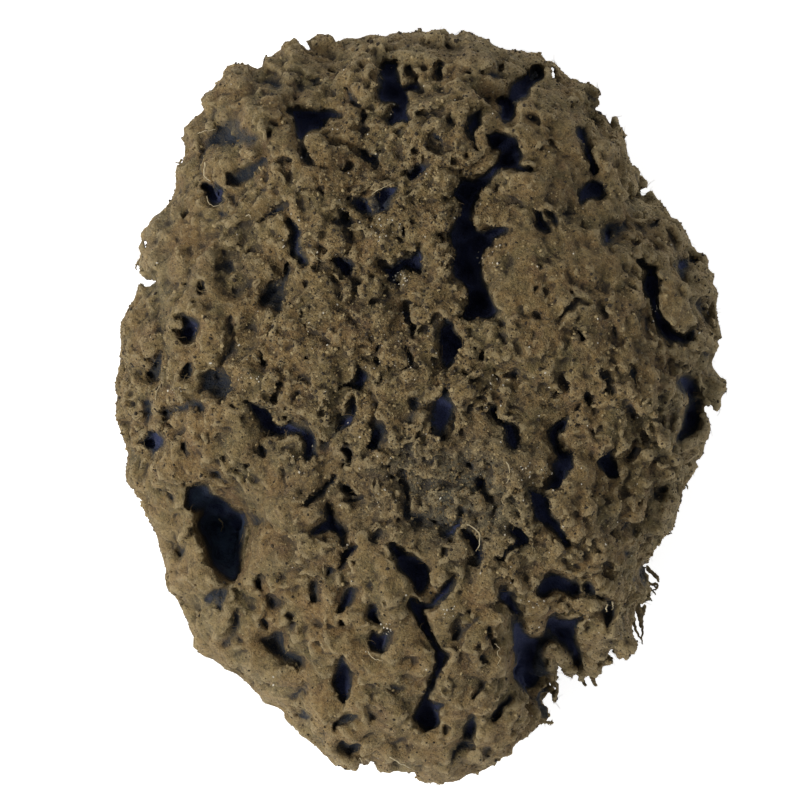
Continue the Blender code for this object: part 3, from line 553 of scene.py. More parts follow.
    Hollow("upper right bow, arm", 6, ((545, 212), (552, 214), (560, 225), (556, 230), (549, 221))),
    Hollow("lower left leaf", 8, (
        (204, 598), (209, 592), (215, 588), (228, 587), (229, 592), (226, 598), (222, 603), (224, 607),
        (219, 609), (212, 603), (206, 602))),
    Hollow("deep dart", 8, ((256, 580), (261, 578), (262, 588), (258, 587))),
    Hollow("diamond", 8, ((262, 616), (267, 615), (270, 621), (267, 627), (263, 624))),
    Hollow("brown pit", 6, ((270, 596), (274, 595), (276, 600), (279, 605), (277, 609), (272, 607)), 0.6),
)

RUNS = (
    Run(7, ((228, 182, 5), (240, 179, 7), (250, 172, 7), (258, 166, 6), (266, 160, 3)), 0.9),
    Run(4, ((202, 163, 1.8), (200, 175, 1.8))), Run(5, ((227, 124, 4.5),)),
    Run(3, ((223, 110, 5), (234, 114, 5)), 2.0), Run(3, ((238, 106, 2), (243, 113, 2), (248, 120, 2))),
    Run(3, ((190, 223, 3),)), Run(4, ((178, 241, 2.5),)), Run(3, ((233, 233, 4), (244, 226, 3)), 1.5),
    Run(4, ((230, 197, 4), (236, 205, 4)), 1.2), Run(4, ((224, 255, 4), (238, 256, 4)), 1.8),
    Run(6, ((201, 286, 3.5), (201, 291, 3.5))), Run(3, ((196, 303, 2),)), Run(3, ((143, 331, 4),), 1.0),
    Run(3, ((161, 330, 3.5),), 1.0), Run(4, ((232, 315, 2), (231, 334, 2.6))),
    Run(5, ((164, 414, 4), (175, 410, 4), (190, 406, 4), (200, 402, 5), (203, 410, 4)), 0.7),
    Run(4, ((225, 365, 3), (232, 350, 3), (235, 342, 2)), 1.0), Run(4, ((266, 364, 3.6),)),
    Run(2, ((241, 362, 1), (242, 352, 1), (248, 346, 1), (256, 352, 1), (253, 361, 1))),
    Run(6, ((262, 446, 3.6), (263, 452, 3.2))), Run(4, ((226, 458, 2.6),)), Run(3, ((239, 467, 1.8),)),
    Run(3, ((249, 466, 1.8),)), Run(5, ((172, 495, 3.2), (172, 498, 3.2))), Run(3, ((257, 480, 4.5),), 1.2),
    Run(5, ((185, 443, 3), (188, 455, 3.5))),
    Run(4, ((238, 612, 4), (238, 625, 4), (234, 635, 4), (226, 641, 5)), 0.8),
    Run(2.5, ((246, 595, 4), (253, 607, 4)), 1.8), Run(5, ((241, 639, 3.2),)), Run(5, ((265, 620, 3),)),
    Run(6, ((192, 531, 3.3),)), Run(6, ((184, 550, 3.6), (181, 556, 3))), Run(3, ((178, 513, 3.6),), 1.0),
    Run(3, ((204, 618, 1.3),)), Run(3, ((205, 624, 1.3),)), Run(3, ((202, 611, 1.2),)),
    Run(4, ((345, 47, 4), (354, 54, 5), (364, 56, 4)), 1.2), Run(3, ((374, 55, 3),)),
    Run(3, ((391, 44, 2),)), Run(3, ((396, 47, 1.4), (399, 49, 1.4))),
    Run(5, ((268, 84, 5), (276, 87, 6)), 1.8), Run(4, ((301, 81, 3), (301, 91, 2.5)), 0.8),
    Run(5, ((312, 83, 4), (318, 80, 4)), 1.0), Run(3, ((368, 88, 1.8),)), Run(4, ((372, 107, 2.5),)),
    Run(3, ((334, 92, 1.6),)), Run(5, ((398, 134, 3.4), (402, 131, 3))),
    Run(3, ((398, 144, 1.5), (396, 157, 1.5))), Run(3, ((266, 160, 5), (269, 166, 4)), 1.5),
    Run(4, ((267, 180, 2.4),)), Run(3, ((284, 163, 4), (286, 176, 3)), 1.2),
    Run(2, ((268, 126, 1), (276, 122, 1), (284, 118, 1))), Run(5, ((345, 172, 3), (351, 168, 2.4))),
    Run(5, ((341, 210, 3), (346, 214, 3))), Run(5, ((311, 247, 3.2),)), Run(5, ((323, 247, 3.2),)),
    Run(3, ((316, 268, 2), (322, 272, 3.4), (329, 272, 3))),
    Run(4, ((333, 281, 2), (338, 288, 2.4), (341, 297, 1.6)), 0.7), Run(3, ((400, 208, 2.3),)),
    Run(4, ((411, 204, 2.6),)), Run(5, ((401, 228, 2), (402, 235, 2))), Run(3, ((411, 224, 2),)),
    Run(4, ((356, 284, 1.8), (362, 283, 1.8))), Run(3, ((380, 300, 3), (388, 302, 2))),
    Run(5, ((324, 186, 1.7), (324, 197, 1.9))), Run(4, ((265, 192, 3.6),)), Run(3, ((345, 190, 2),)),
    Run(3, ((303, 202, 4), (308, 216, 4)), 1.5), Run(3, ((320, 210, 2), (325, 203, 2)), 0.8),
    Run(4, ((277, 232, 1.8), (279, 239, 1.8))), Run(3, ((342, 310, 0.9), (352, 320, 1), (357, 327, 0.8))),
    Run(3, ((281, 329, 2),)), Run(2, ((276, 372, 2), (288, 366, 2), (300, 372, 2), (308, 382, 2)), 0.8),
    Run(4, ((280, 386, 4),), 0.6), Run(4, ((297, 396, 2.4),)), Run(5, ((380, 351, 3.4),)),
    Run(6, ((379, 364, 3.8),)), Run(5, ((405, 345, 2), (409, 355, 2.6), (412, 366, 2.4))),
    Run(3, ((378, 383, 1.4), (390, 375, 1.4))), Run(3, ((406, 387, 1.2), (414, 382, 1.2))),
    Run(5, ((415, 400, 5), (413, 418, 5)), 0.9), Run(3, ((288, 448, 2),)), Run(3, ((295, 444, 2),)),
    Run(4, ((397, 428, 1.6), (400, 438, 1.6))), Run(4, ((404, 426, 1.6), (406, 437, 1.6))),
    Run(3, ((385, 463, 2),)), Run(3, ((392, 476, 2),)),
    Run(4, ((381, 445, 1.6), (390, 448, 2), (402, 453, 2.2), (409, 450, 1.4))),
    Run(5, ((405, 470, 2), (407, 488, 3.4), (405, 504, 4), (405, 515, 5), (418, 515, 6)), 0.8),
    Run(5, ((347, 500, 1.8), (357, 497, 2.2), (364, 497, 2))), Run(3, ((362, 505, 1.6), (371, 503, 1.6))),
    Run(3, ((384, 534, 6), (376, 536, 4)), 1.5), Run(7, ((329, 568, 3.2), (330, 573, 2.6))),
    Run(3, ((367, 584, 3.6),), 0.8), Run(5, ((291, 615, 3),)), Run(2, ((366, 655, 1), (380, 658, 1))),
    Run(5, ((394, 686, 2.6), (403, 686, 2.2))), Run(4, ((407, 702, 2),)),
    Run(2, ((402, 676, 0.9), (412, 676, 1.2), (421, 680, 1))), Run(2, ((408, 658, 0.9), (421, 656, 0.9))),
    Run(5, ((437, 50, 3),)), Run(6, ((440, 68, 4), (438, 76, 5))), Run(6, ((441, 94, 4.4),)),
    Run(6, ((434, 138, 4), (440, 138, 4))), Run(4, ((417, 117, 2), (437, 116, 2))),
    Run(4, ((450, 124, 4),)), Run(5, ((531, 122, 3.5),)), Run(3, ((435, 148, 1.7),)),
    Run(3, ((450, 150, 1.7),)), Run(3, ((458, 147, 1.7),)), Run(3, ((444, 154, 1.7),)),
    Run(3, ((467, 160, 1.7),)), Run(3, ((458, 163, 1.7),)),
    Run(6, ((436, 320, 3.4), (436, 332, 3.6), (434, 344, 2.6)), 0.8),
    Run(3, ((478, 398, 2), (471, 405, 2), (470, 412, 1.6))),
    Run(5, ((463, 459, 2.4), (468, 463, 3), (473, 468, 2))), Run(6, ((486, 492, 2.2), (485, 499, 2))),
    Run(2.5, ((450, 470, 1), (456, 471, 1), (466, 480, 1), (472, 487, 1))),
    Run(2.5, ((420, 484, 1.4), (440, 480, 1.4), (445, 478, 1.2))),
    Run(9, ((462, 512, 4), (458, 522, 5), (450, 531, 4), (443, 534, 2.5))),
    Run(9, ((465, 528, 3), (471, 537, 5), (477, 546, 6), (481, 554, 4), (476, 560, 2.5))),
    Run(3, ((430, 518, 4), (448, 526, 4)), 1.5), Run(5, ((463, 628, 2), (470, 622, 2), (478, 616, 2)), 0.7),
    Run(6, ((488, 628, 3), (488, 633, 3))), Run(5, ((478, 645, 2.4),)), Run(7, ((482, 656, 3.8),)),
    Run(3, ((467, 609, 1.7),)), Run(3, ((477, 608, 1.7),)), Run(3, ((459, 590, 1.7),)),
    Run(3, ((496, 582, 1.7),)), Run(5, ((446, 726, 2.2), (445, 731, 1.6))), Run(4, ((444, 738, 1.4),)),
    Run(5, ((603, 562, 1.8), (611, 566, 2))), Run(5, ((572, 563, 2.4), (581, 566, 2))),
    Run(3, ((585, 559, 1.6), (589, 556, 1.6))), Run(3, ((621, 589, 4),), 1.2),
    Run(4, ((560, 380, 1.6), (567, 387, 3), (568, 392, 2.4))), Run(3, ((577, 302, 2), (586, 304, 2.4))),
    Run(4, ((575, 332, 1.8), (581, 340, 2.2))), Run(4, ((612, 329, 2.4), (614, 340, 2)), 0.8),
    Run(5, ((640, 313, 3), (646, 324, 3.4), (645, 336, 3)), 1.0),
    Run(5, ((627, 404, 2.6), (629, 412, 3)), 0.8), Run(4, ((648, 497, 3.4),), 0.8),
    Run(2, ((638, 458, 0.9), (649, 467, 0.9))),
    Run(4, ((662, 402, 1.8), (666, 416, 3.4), (664, 432, 4)), 0.8),
    Run(3, ((655, 448, 1.6), (657, 456, 1.6))),
    Run(2, ((578, 425, 1.2), (588, 425, 1.2), (592, 434, 1.2), (596, 441, 1))),
    Run(3, ((608, 485, 3),), 1.0), Run(5, ((667, 233, 2.4), (671, 243, 2.6), (675, 255, 2)), 0.8),
    Run(4, ((613, 136, 3), (616, 150, 3.4)), 0.8), Run(3, ((604, 158, 1.2), (614, 155, 1.2))),
    Run(3, ((565, 215, 4),), 1.0), Run(3, ((467, 90, 4),), 1.2), Run(3, ((577, 88, 2.4),), 0.8),
    Run(4, ((577, 96, 2),)), Run(5, ((587, 95, 4), (594, 98, 3)), 0.8),
    Run(3, ((602, 293, 1.2), (609, 284, 1))), Run(3, ((500, 335, 4), (505, 345, 3)), 1.2),
    Run(2, (
        (640, 402, 1.6), (646, 394, 1.2), (656, 398, 1.2), (661, 412, 1.2), (660, 428, 1.4),
        (650, 437, 1.4))),
    Run(4, ((575, 300, 1.6), (566, 312, 1.8), (560, 322, 1.4))),
    Run(2.5, ((596, 306, 1.4), (604, 318, 1.6))), Run(3, ((592, 540, 2), (598, 548, 2.4)), 0.8),
    Run(3, ((628, 510, 2.4), (622, 516, 1.8))),
)

SPURS = (
    Spur("ball lump", ((668, 292, 8, 30), (676, 304, 9, 30), (664, 306, 8, 30))),
    Spur("tongue in the torn hollow", ((546, 660, 5, 27), (552, 656, 6, 26), (553, 666, 4, 24))),
    Spur("strip beside the tongue", ((560, 652, 3, 30), (566, 662, 4, 27), (569, 672, 3.4, 24))),
    Spur("spur in the long crack", ((462, 290, 4, 36), (461, 300, 3.4, 34), (463, 310, 3, 33))),
    Spur("curl in the great hollow", ((219, 519, 1.6, 33), (223, 524, 1.7, 35), (221, 532, 1.6, 33))),
    Spur("fingers in the fingered pit", ((606, 598, 2, 33), (607, 606, 1.6, 31), (606, 612, 1.2, 30))),
)

NOTCHES = (
    Notch("gap in the thin lobe", ((144, 241), (146, 240), (148, 244), (147, 249), (146, 250), (145, 246))),
    Notch("slit at the upper right", ((551, 66), (554, 68), (555, 78), (552, 80), (551, 73))),
)


@dataclass(frozen=True)
class Thread:
    """A thread, fray or thin bright rim; a bright rim is a pale strip laid along a lip as a painted
    highlight.

    Attributes:
        half: Its half width, in pixels of the photograph.
        path: Its places, in pixels of the photograph.
        level: How high it stands over the floor where it hangs free, in mm, or none on the skin.
    """

    half: float
    path: tuple[Point, ...]
    level: float | None = None


# some of these are thin bright rims along lips: pale strips laid as painted highlights
THREADS = (
    Thread(0.8, ((466, 523), (473, 527), (478, 532), (479, 539), (478, 545), (475, 550))),
    Thread(0.5, ((494, 642), (499, 647), (496, 652), (500, 657), (497, 662), (500, 667))),
    Thread(0.7, ((505, 461), (508, 466), (509, 472), (508, 478), (505, 483))),
    Thread(0.6, ((247, 217), (250, 216), (252, 219))),
    Thread(0.5, ((368, 650), (371, 654), (375, 657), (383, 659))),
    Thread(0.7, ((390, 756), (397, 760), (405, 765), (415, 770))),
    Thread(0.45, ((360, 757), (362, 760), (362, 764))), Thread(0.45, ((366, 758), (369, 761), (370, 766))),
    Thread(0.8, ((606, 603), (605, 607), (606, 611))), Thread(0.7, ((611, 601), (612, 605), (611, 609))),
    Thread(0.9, ((219, 519), (223, 524), (221, 532))),
    Thread(0.7, ((206, 164), (205, 172), (206, 178), (211, 182))),
    Thread(0.4, ((208, 197), (209, 203), (214, 207), (220, 206), (225, 201))),
    Thread(0.4, ((199, 134), (205, 132), (212, 131), (217, 130))),
    Thread(0.5, ((157, 400), (157, 393), (161, 386))),
    Thread(0.5, ((372, 196), (379, 191), (388, 187), (395, 184))),
    Thread(0.5, ((312, 252), (316, 258), (322, 262))),
)

FRAYS = (
    Thread(2.8, ((646, 567), (650, 571), (654, 575), (657, 578), (659, 582)), 19),
    Thread(1.9, ((652, 573), (657, 576), (659, 580)), 19),
    Thread(2.2, ((646, 582), (651, 584), (655, 586), (657, 589)), 18),
    Thread(1.9, ((652, 585), (657, 584), (657, 589), (654, 590)), 18),
    Thread(1.7, ((646, 587), (651, 589), (654, 592), (656, 595)), 18),
    Thread(1.7, ((645, 594), (649, 598), (652, 601)), 18),
    Thread(4.9, ((636, 603), (638, 608), (640, 613), (641, 619), (642, 628)), 18),
    Thread(3.5, ((637, 606), (642, 611), (645, 608)), 18),
    Thread(2.6, ((644, 606), (644, 612), (641, 620)), 18),
    Thread(2.2, ((634, 618), (635, 626), (637, 632), (640, 637), (643, 640)), 17),
    Thread(1.7, ((641, 622), (643, 630), (642, 638), (643, 645)), 17),
    Thread(3.8, ((578, 666), (580, 674), (583, 681), (586, 686)), 14),
    Thread(4.2, ((590, 666), (592, 674), (594, 681), (597, 687)), 14),
    Thread(1.7, ((606, 655), (611, 658), (613, 664)), 16),
    Thread(1.6, ((663, 532), (668, 534), (672, 533)), 20),
    Thread(1.6, ((684, 482), (687, 486), (688, 489)), 22),
    Thread(1.4, ((139, 262), (136, 266), (137, 270)), 24),
    Thread(1.4, ((182, 160), (179, 163), (176, 163)), 24),
)

GRAINS = (
    (273, 325), (284, 248), (299, 230), (392, 69), (394, 106), (391, 116), (338, 131), (369, 158),
    (349, 175), (343, 210), (391, 280), (400, 273), (398, 284), (316, 350), (411, 365), (380, 362),
    (412, 388), (366, 650), (265, 548), (293, 566), (284, 225), (285, 247), (271, 324), (259, 312),
    (258, 284), (333, 131), (368, 136), (425, 238), (402, 232), (394, 281), (388, 277), (404, 276),
    (311, 333), (313, 349), (309, 332), (374, 342), (413, 366), (544, 373), (540, 350), (548, 375),
    (631, 346), (527, 340),
)

GRAIN_BEDS = (
    ((387, 627), (8, 8), 18), ((531, 472), (22, 11), 46), ((449, 611), (8, 9), 16),
    ((530, 601), (14, 5), 18), ((400, 280), (12, 9), 26), ((385, 232), (18, 12), 26),
    ((250, 385), (14, 12), 18), ((175, 385), (12, 10), 10), ((345, 470), (60, 50), 40),
    ((490, 255), (14, 14), 22), ((640, 310), (18, 16), 16), ((400, 350), (40, 40), 44),
)


def smooth_max(first: Array, second: Array, soft: float | Array) -> Array:
    """Gives the larger of two fields, with a rounded turn of that many mm between them.

    Args:
        first: One field, in mm.
        second: The other field, in mm.
        soft: How wide the rounded turn is, in mm.

    Returns:
        The joined field.
    """
    share = np.clip(0.5 + 0.5 * (first - second) / soft, 0.0, 1.0)
    return second + (first - second) * share + soft * share * (1.0 - share)


def outline_distance(x: Array, y: Array, corners: list[Point]) -> Array:
    """Measures how far points lie from a closed outline.

    Args:
        x: Places across, in mm.
        y: Places along, in mm.
        corners: The outline's corners, in mm.

    Returns:
        The distance in mm, below zero inside.
    """
    near = np.full(np.broadcast(x, y).shape, 1e6, np.float32)
    inside = np.zeros(near.shape, bool)
    for (ax, ay), (bx, by) in zip(corners, corners[1:] + corners[:1]):
        run_x, run_y = bx - ax, by - ay
        share = np.clip(((x - ax) * run_x + (y - ay) * run_y) / (run_x ** 2 + run_y ** 2), 0.0, 1.0)
        near = np.minimum(near, (x - ax - run_x * share) ** 2 + (y - ay - run_y * share) ** 2)
        if ay != by:
            inside ^= ((ay > y) != (by > y)) & (x < ax + run_x * (y - ay) / run_y)
    return np.where(inside, -1.0, 1.0).astype(np.float32) * np.sqrt(near)


def bead_distance(x: Array, y: Array, beads: list[tuple[float, float, float]]) -> Array:
    """Measures how far points lie from a string of beads.

    Args:
        x: Places across, in mm.
        y: Places along, in mm.
        beads: Each bead's place and radius, in mm.

    Returns:
        The distance in mm, below zero inside.
    """
    first = beads[0]
    near = np.hypot(x - first[0], y - first[1]) - first[2]
    for (ax, ay, ar), (bx, by, br) in zip(beads, beads[1:]):
        run_x, run_y = bx - ax, by - ay
        share = np.clip(((x - ax) * run_x + (y - ay) * run_y) / (run_x ** 2 + run_y ** 2), 0.0, 1.0)
        gap = np.hypot(x - ax - run_x * share, y - ay - run_y * share)
        near = np.minimum(near, gap - (ar + (br - ar) * share))
    return near


class Layer(IntEnum):
    """The layers of the body's random form, each with the first of its own lattices."""

    WOBBLE = 0
    TILT = 5
    FLOOR = 6
    SWELL = 15
    WARP = 20
    MOUND = 40
    PIT = 45
    KNOB = 50
    BLADE = 60
    LEDGE = 70
    LEDGE_EDGE = 75
    LUMP = 80


class Lattice:
    """Smooth random values in space, on a turned lattice, the same in every run."""

    SIDE = 64

    def __init__(self, layer: Layer, number: int = 0) -> None:
        """Fills the lattice.

        Args:
            layer: The layer that it is for.
            number: Which of that layer's lattices this is.
        """
        rng = np.random.default_rng(SEED + layer + number)
        self.values = rng.uniform(-1.0, 1.0, self.SIDE ** 3).astype(np.float32)
        self.offsets = rng.uniform(0.0, 1.0, (self.SIDE ** 3, 3)).astype(np.float32)
        self.turn = np.linalg.qr(rng.normal(size=(3, 3)))[0].astype(np.float32)
        self.shift = rng.uniform(0.0, self.SIDE, 3).astype(np.float32)

    def _cells(self, points: Array, size: float) -> tuple[Array, Array]:
        """Finds each point's cell of the lattice.

        Args:
            points: Places in mm, one in each row.
            size: How wide a cell is, in mm.

        Returns:
            The cells, and each point's place in its own.
        """
        turned = points @ (self.turn / size) + self.shift
        cell = np.floor(turned)
        return cell.astype(np.int32), turned - cell

    def _address(self, x: Array, y: Array, z: Array) -> Array:
        """Gives the place of lattice cells in the flat table."""
        mask = self.SIDE - 1
        return ((x & mask) * self.SIDE + (y & mask)) * self.SIDE + (z & mask)

    def smooth(self, points: Array, size: float) -> Array:
        """Gives soft swells from -1 to 1.

        Args:
            points: Places in mm, one in each row.
            size: How wide a swell is, in mm.

        Returns:
            One value for each place.
        """
        cell, part = self._cells(points, size)
        part = part * part * (3.0 - 2.0 * part)
        total = np.zeros(len(points), np.float32)
        for corner in range(8):
            step = (corner & 1, corner >> 1 & 1, corner >> 2)
            weight = np.ones(len(points), np.float32)
            for axis in range(3):
                weight *= part[:, axis] if step[axis] else 1.0 - part[:, axis]
            spot = self._address(*(cell[:, axis] + step[axis] for axis in range(3)))
            total += weight * self.values[spot]
        return total * 1.4

    def knobs(self, points: Array, size: float) -> Array:
        """Gives the distance to the nearest of scattered points, in shares of their spacing.

        Args:
            points: Places in mm, one in each row.
            size: How far apart the scattered points are, in mm.

        Returns:
            One distance for each place.
        """
        cell, part = self._cells(points, size)
        near = np.full(len(points), 9.0, np.float32)
        for corner in range(27):
            step = (corner % 3 - 1, corner // 3 % 3 - 1, corner // 9 - 1)
            spot = self._address(*(cell[:, axis] + step[axis] for axis in range(3)))
            gap = self.offsets[spot] + np.array(step, np.float32) - part
            near = np.minimum(near, np.einsum("ij,ij->i", gap, gap))
        return np.sqrt(near)


@dataclass
class SkinField:
    """How far each point of a block lies from the sponge's skin, in mm, and below zero inside it.

    Attributes:
        step: How far apart the points are, in mm.
        low: The block's lowest corner, in steps.
        count: How many points it has each way.
        band: How far from the skin distances are kept, in mm.
    """

    step: float = 0.4
    low: tuple[int, int, int] = (-168, -203, -8)
    count: tuple[int, int, int] = (336, 406, 184)
    band: float = 4.0
    values: Array = field(init=False, repr=False)

    def __post_init__(self) -> None:
        """Makes the places of the points along each axis."""
        self.x, self.y, self.z = (
            ((np.arange(count) + lowest) * self.step).astype(np.float32)
            for count, lowest in zip(self.count, self.low))

    def take_mesh(self, points: Array, triangles: Array) -> None:
        """Reads the distances from a closed mesh.

        Args:
            points: The mesh's corners, in mm.
            triangles: Three corner numbers for each of its faces.
        """
        grid = openvdb.FloatGrid.createLevelSetFromPolygons(
            points.astype(np.float32), triangles=triangles.astype(np.uint32),
            transform=openvdb.createLinearTransform(voxelSize=self.step), halfWidth=self.band / self.step)
        self.values = np.empty(self.count, np.float32)
        grid.copyToArray(self.values, ijk=self.low)

    def soften(self, passes: int) -> None:
        """Rounds the facets off by averaging each point with its neighbours.

        Args:
            passes: How many times it is averaged.
        """
        for _ in range(passes):
            for axis in range(3):
                rolled = np.roll(self.values, 1, axis) + np.roll(self.values, -1, axis)
                self.values = 0.5 * self.values + 0.25 * rolled

    def top(self) -> Array:
        """Finds the highest skin over each place of the ground.

        Returns:
            The heights in mm, zero where there is no skin.
        """
        inside = self.values < 0.0
        levels = self.count[2] - 1 - np.argmax(inside[:, :, ::-1], axis=2)
        return np.where(inside.any(axis=2), self.z[levels], 0.0)

    def window(self, low: Iterable[float], high: Iterable[float]) -> tuple[slice, ...]:
        """Gives the part of the block between two corners.

        Args:
            low: The lowest corner, in mm.
            high: The highest corner, in mm.

        Returns:
            A slice for each axis.
        """
        first = [max(0, int(a / self.step) - b - 1) for a, b in zip(low, self.low)]
        last = [min(n, int(a / self.step) - b + 2) for a, b, n in zip(high, self.low, self.count)]
        return tuple(slice(a, max(a, b)) for a, b in zip(first, last))

    def remove(self, part: tuple[slice, ...], cutter: Array, soft: float | Array) -> None:
        """Takes a shape away from the sponge inside a window."""
        self.values[part] = smooth_max(self.values[part], -cutter, soft)

    def add(self, part: tuple[slice, ...], shape: Array, soft: float) -> None:
        """Adds a shape to the sponge inside a window."""
        self.values[part] = -smooth_max(-self.values[part], -shape, soft)

    def near(self, reach: float) -> tuple[Array, Array]:
        """Finds the points close to the skin.

        Args:
            reach: How close they are, in mm.

        Returns:
            Their numbers in the flat block, and their places in mm.
        """
        spots = np.flatnonzero(np.abs(self.values).ravel() < reach)
        i, j, k = np.unravel_index(spots, self.count)
        return spots, np.stack([self.x[i], self.y[j], self.z[k]], axis=1)

    def sample(self, values: Array, points: Array) -> Array:
        """Reads a block of values between its points.

        Args:
            values: The block that is read.
            points: Places in mm, one in each row.

        Returns:
            One value for each place.
        """
        scaled = points / np.float32(self.step) - np.array(self.low, np.float32)
        scaled = np.clip(scaled, 0.0, np.array(self.count, np.float32) - 1.001)
        cell = scaled.astype(np.int32)
        part = scaled - cell
        flat = values.ravel()
        strides = (self.count[1] * self.count[2], self.count[2], 1)
        base = sum(cell[:, axis] * strides[axis] for axis in range(3))
        total = np.zeros(len(points), np.float32)
        for corner in range(8):
            step = (corner & 1, corner >> 1 & 1, corner >> 2)
            weight = np.ones(len(points), np.float32)
            for axis in range(3):
                weight *= part[:, axis] if step[axis] else 1.0 - part[:, axis]
            total += weight * flat[base + sum(a * b for a, b in zip(step, strides))]
        return total

    def outward(self, points: Array) -> Array:
        """Finds the direction out of the skin.

        Args:
            points: Places in mm, one in each row.

        Returns:
            One direction of length 1 for each place.
        """
        slopes = []
        for axis in range(3):
            shift = np.zeros(3, np.float32)
            shift[axis] = self.step
            slopes.append(self.sample(self.values, points + shift) - self.sample(self.values, points - shift))
        lean = np.stack(slopes, axis=1)
        return lean / np.maximum(np.linalg.norm(lean, axis=1, keepdims=True), 1e-6)

    def fullness(self, reach: float) -> Array:
        """Gives the share of flesh in a box round each point.

        Args:
            reach: Half the box's side, in mm.

        Returns:
            A block of shares from 0 to 1.
        """
        share = np.clip(0.5 - self.values / self.step, 0.0, 1.0).astype(np.float32)
        half = max(1, round(reach / self.step))
        for axis in range(3):
            total = np.cumsum(share, axis=axis, dtype=np.float32)
            high = np.clip(np.arange(self.count[axis]) + half, 0, self.count[axis] - 1)
            low = np.clip(np.arange(self.count[axis]) - half - 1, 0, self.count[axis] - 1)
            share = (np.take(total, high, axis=axis) - np.take(total, low, axis=axis)) / (2 * half + 1)
        return share

    def skin(self) -> tuple[Array, Array]:
        """Makes the skin's mesh.

        Returns:
            Its corners in mm, and three corner numbers for each face.
        """
        grid = openvdb.FloatGrid(self.band)
        grid.transform = openvdb.createLinearTransform(voxelSize=self.step)
        grid.copyFromArray(self.values, ijk=self.low)
        points, triangles, quads = grid.convertToPolygons(isovalue=0.0, adaptivity=0.0)
        faces = np.concatenate([triangles, quads[:, [0, 1, 2]], quads[:, [0, 2, 3]]]).astype(np.int64)
        return points, faces[:, ::-1]


def largest_piece(points: Array, faces: Array) -> tuple[Array, Array]:
    """Keeps only the largest joined piece of a mesh.

    Args:
        points: The mesh's corners.
        faces: Three corner numbers for each face.

    Returns:
        The corners and faces that are left.
    """
    label = np.arange(len(points))
    edges = np.concatenate([faces[:, [0, 1]], faces[:, [1, 2]]])
    while True:
        lowest = np.minimum(label[edges[:, 0]], label[edges[:, 1]])
        fresh = label.copy()
        np.minimum.at(fresh, label[edges[:, 0]], lowest)
        np.minimum.at(fresh, label[edges[:, 1]], lowest)
        fresh = fresh[fresh]
        fresh = fresh[fresh]
        if np.array_equal(fresh, label):
            break
        label = fresh
    kept = label == np.bincount(label).argmax()
    number = np.cumsum(kept) - 1
    faces = number[faces[kept[faces[:, 0]]]]
    return points[kept], faces


def plain_mesh(name: str, points: Array, faces: Array) -> bpy.types.Object:
    """Makes an object from corners in metres and triangles.

    Args:
        name: The object's name.
        points: The corners.
        faces: Three corner numbers for each face.

    Returns:
        The object, linked to the scene.
    """
    mesh = bpy.data.meshes.new(name)
    mesh.vertices.add(len(points))
    mesh.vertices.foreach_set("co", points.astype(np.float32).ravel())
    mesh.loops.add(faces.size)
    mesh.loops.foreach_set("vertex_index", faces.astype(np.int32).ravel())
    mesh.polygons.add(len(faces))
    mesh.polygons.foreach_set("loop_start", np.arange(0, faces.size, 3, dtype=np.int32))
    mesh.update(calc_edges=True)
    mesh.validate()
    piece = bpy.data.objects.new(name, mesh)
    bpy.context.scene.collection.objects.link(piece)
    return piece


def corners_of(mesh: bpy.types.Mesh) -> Array:
    """Reads a mesh's corners.

    Args:
        mesh: The mesh.

    Returns:
        Their places, one in each row.
    """
    flat = np.empty(len(mesh.vertices) * 3, np.float32)
    mesh.vertices.foreach_get("co", flat)
    return flat.reshape(-1, 3)


def baked(piece: bpy.types.Object) -> bpy.types.Object:
    """Turns an object's modifiers into a plain mesh and removes them.

    Args:
        piece: The object.

    Returns:
        The same object.
    """
    graph = bpy.context.evaluated_depsgraph_get()
    shown = piece.evaluated_get(graph)
    mesh = bpy.data.meshes.new_from_object(shown, preserve_all_data_layers=True, depsgraph=graph)
    piece.modifiers.clear()
    old = piece.data
    piece.data = mesh
    if isinstance(old, bpy.types.Mesh):
        bpy.data.meshes.remove(old)
    mesh.name = piece.name
    return piece


def set_attribute(mesh: bpy.types.Mesh, name: str, values: Array) -> None:
    """Stores one number for each corner of a mesh.

    Args:
        mesh: The mesh.
        name: What the numbers are called.
        values: The numbers.
    """
    layer = mesh.attributes.get(name) or mesh.attributes.new(name, "FLOAT", "POINT")
    layer.data.foreach_set("value", values.astype(np.float32))


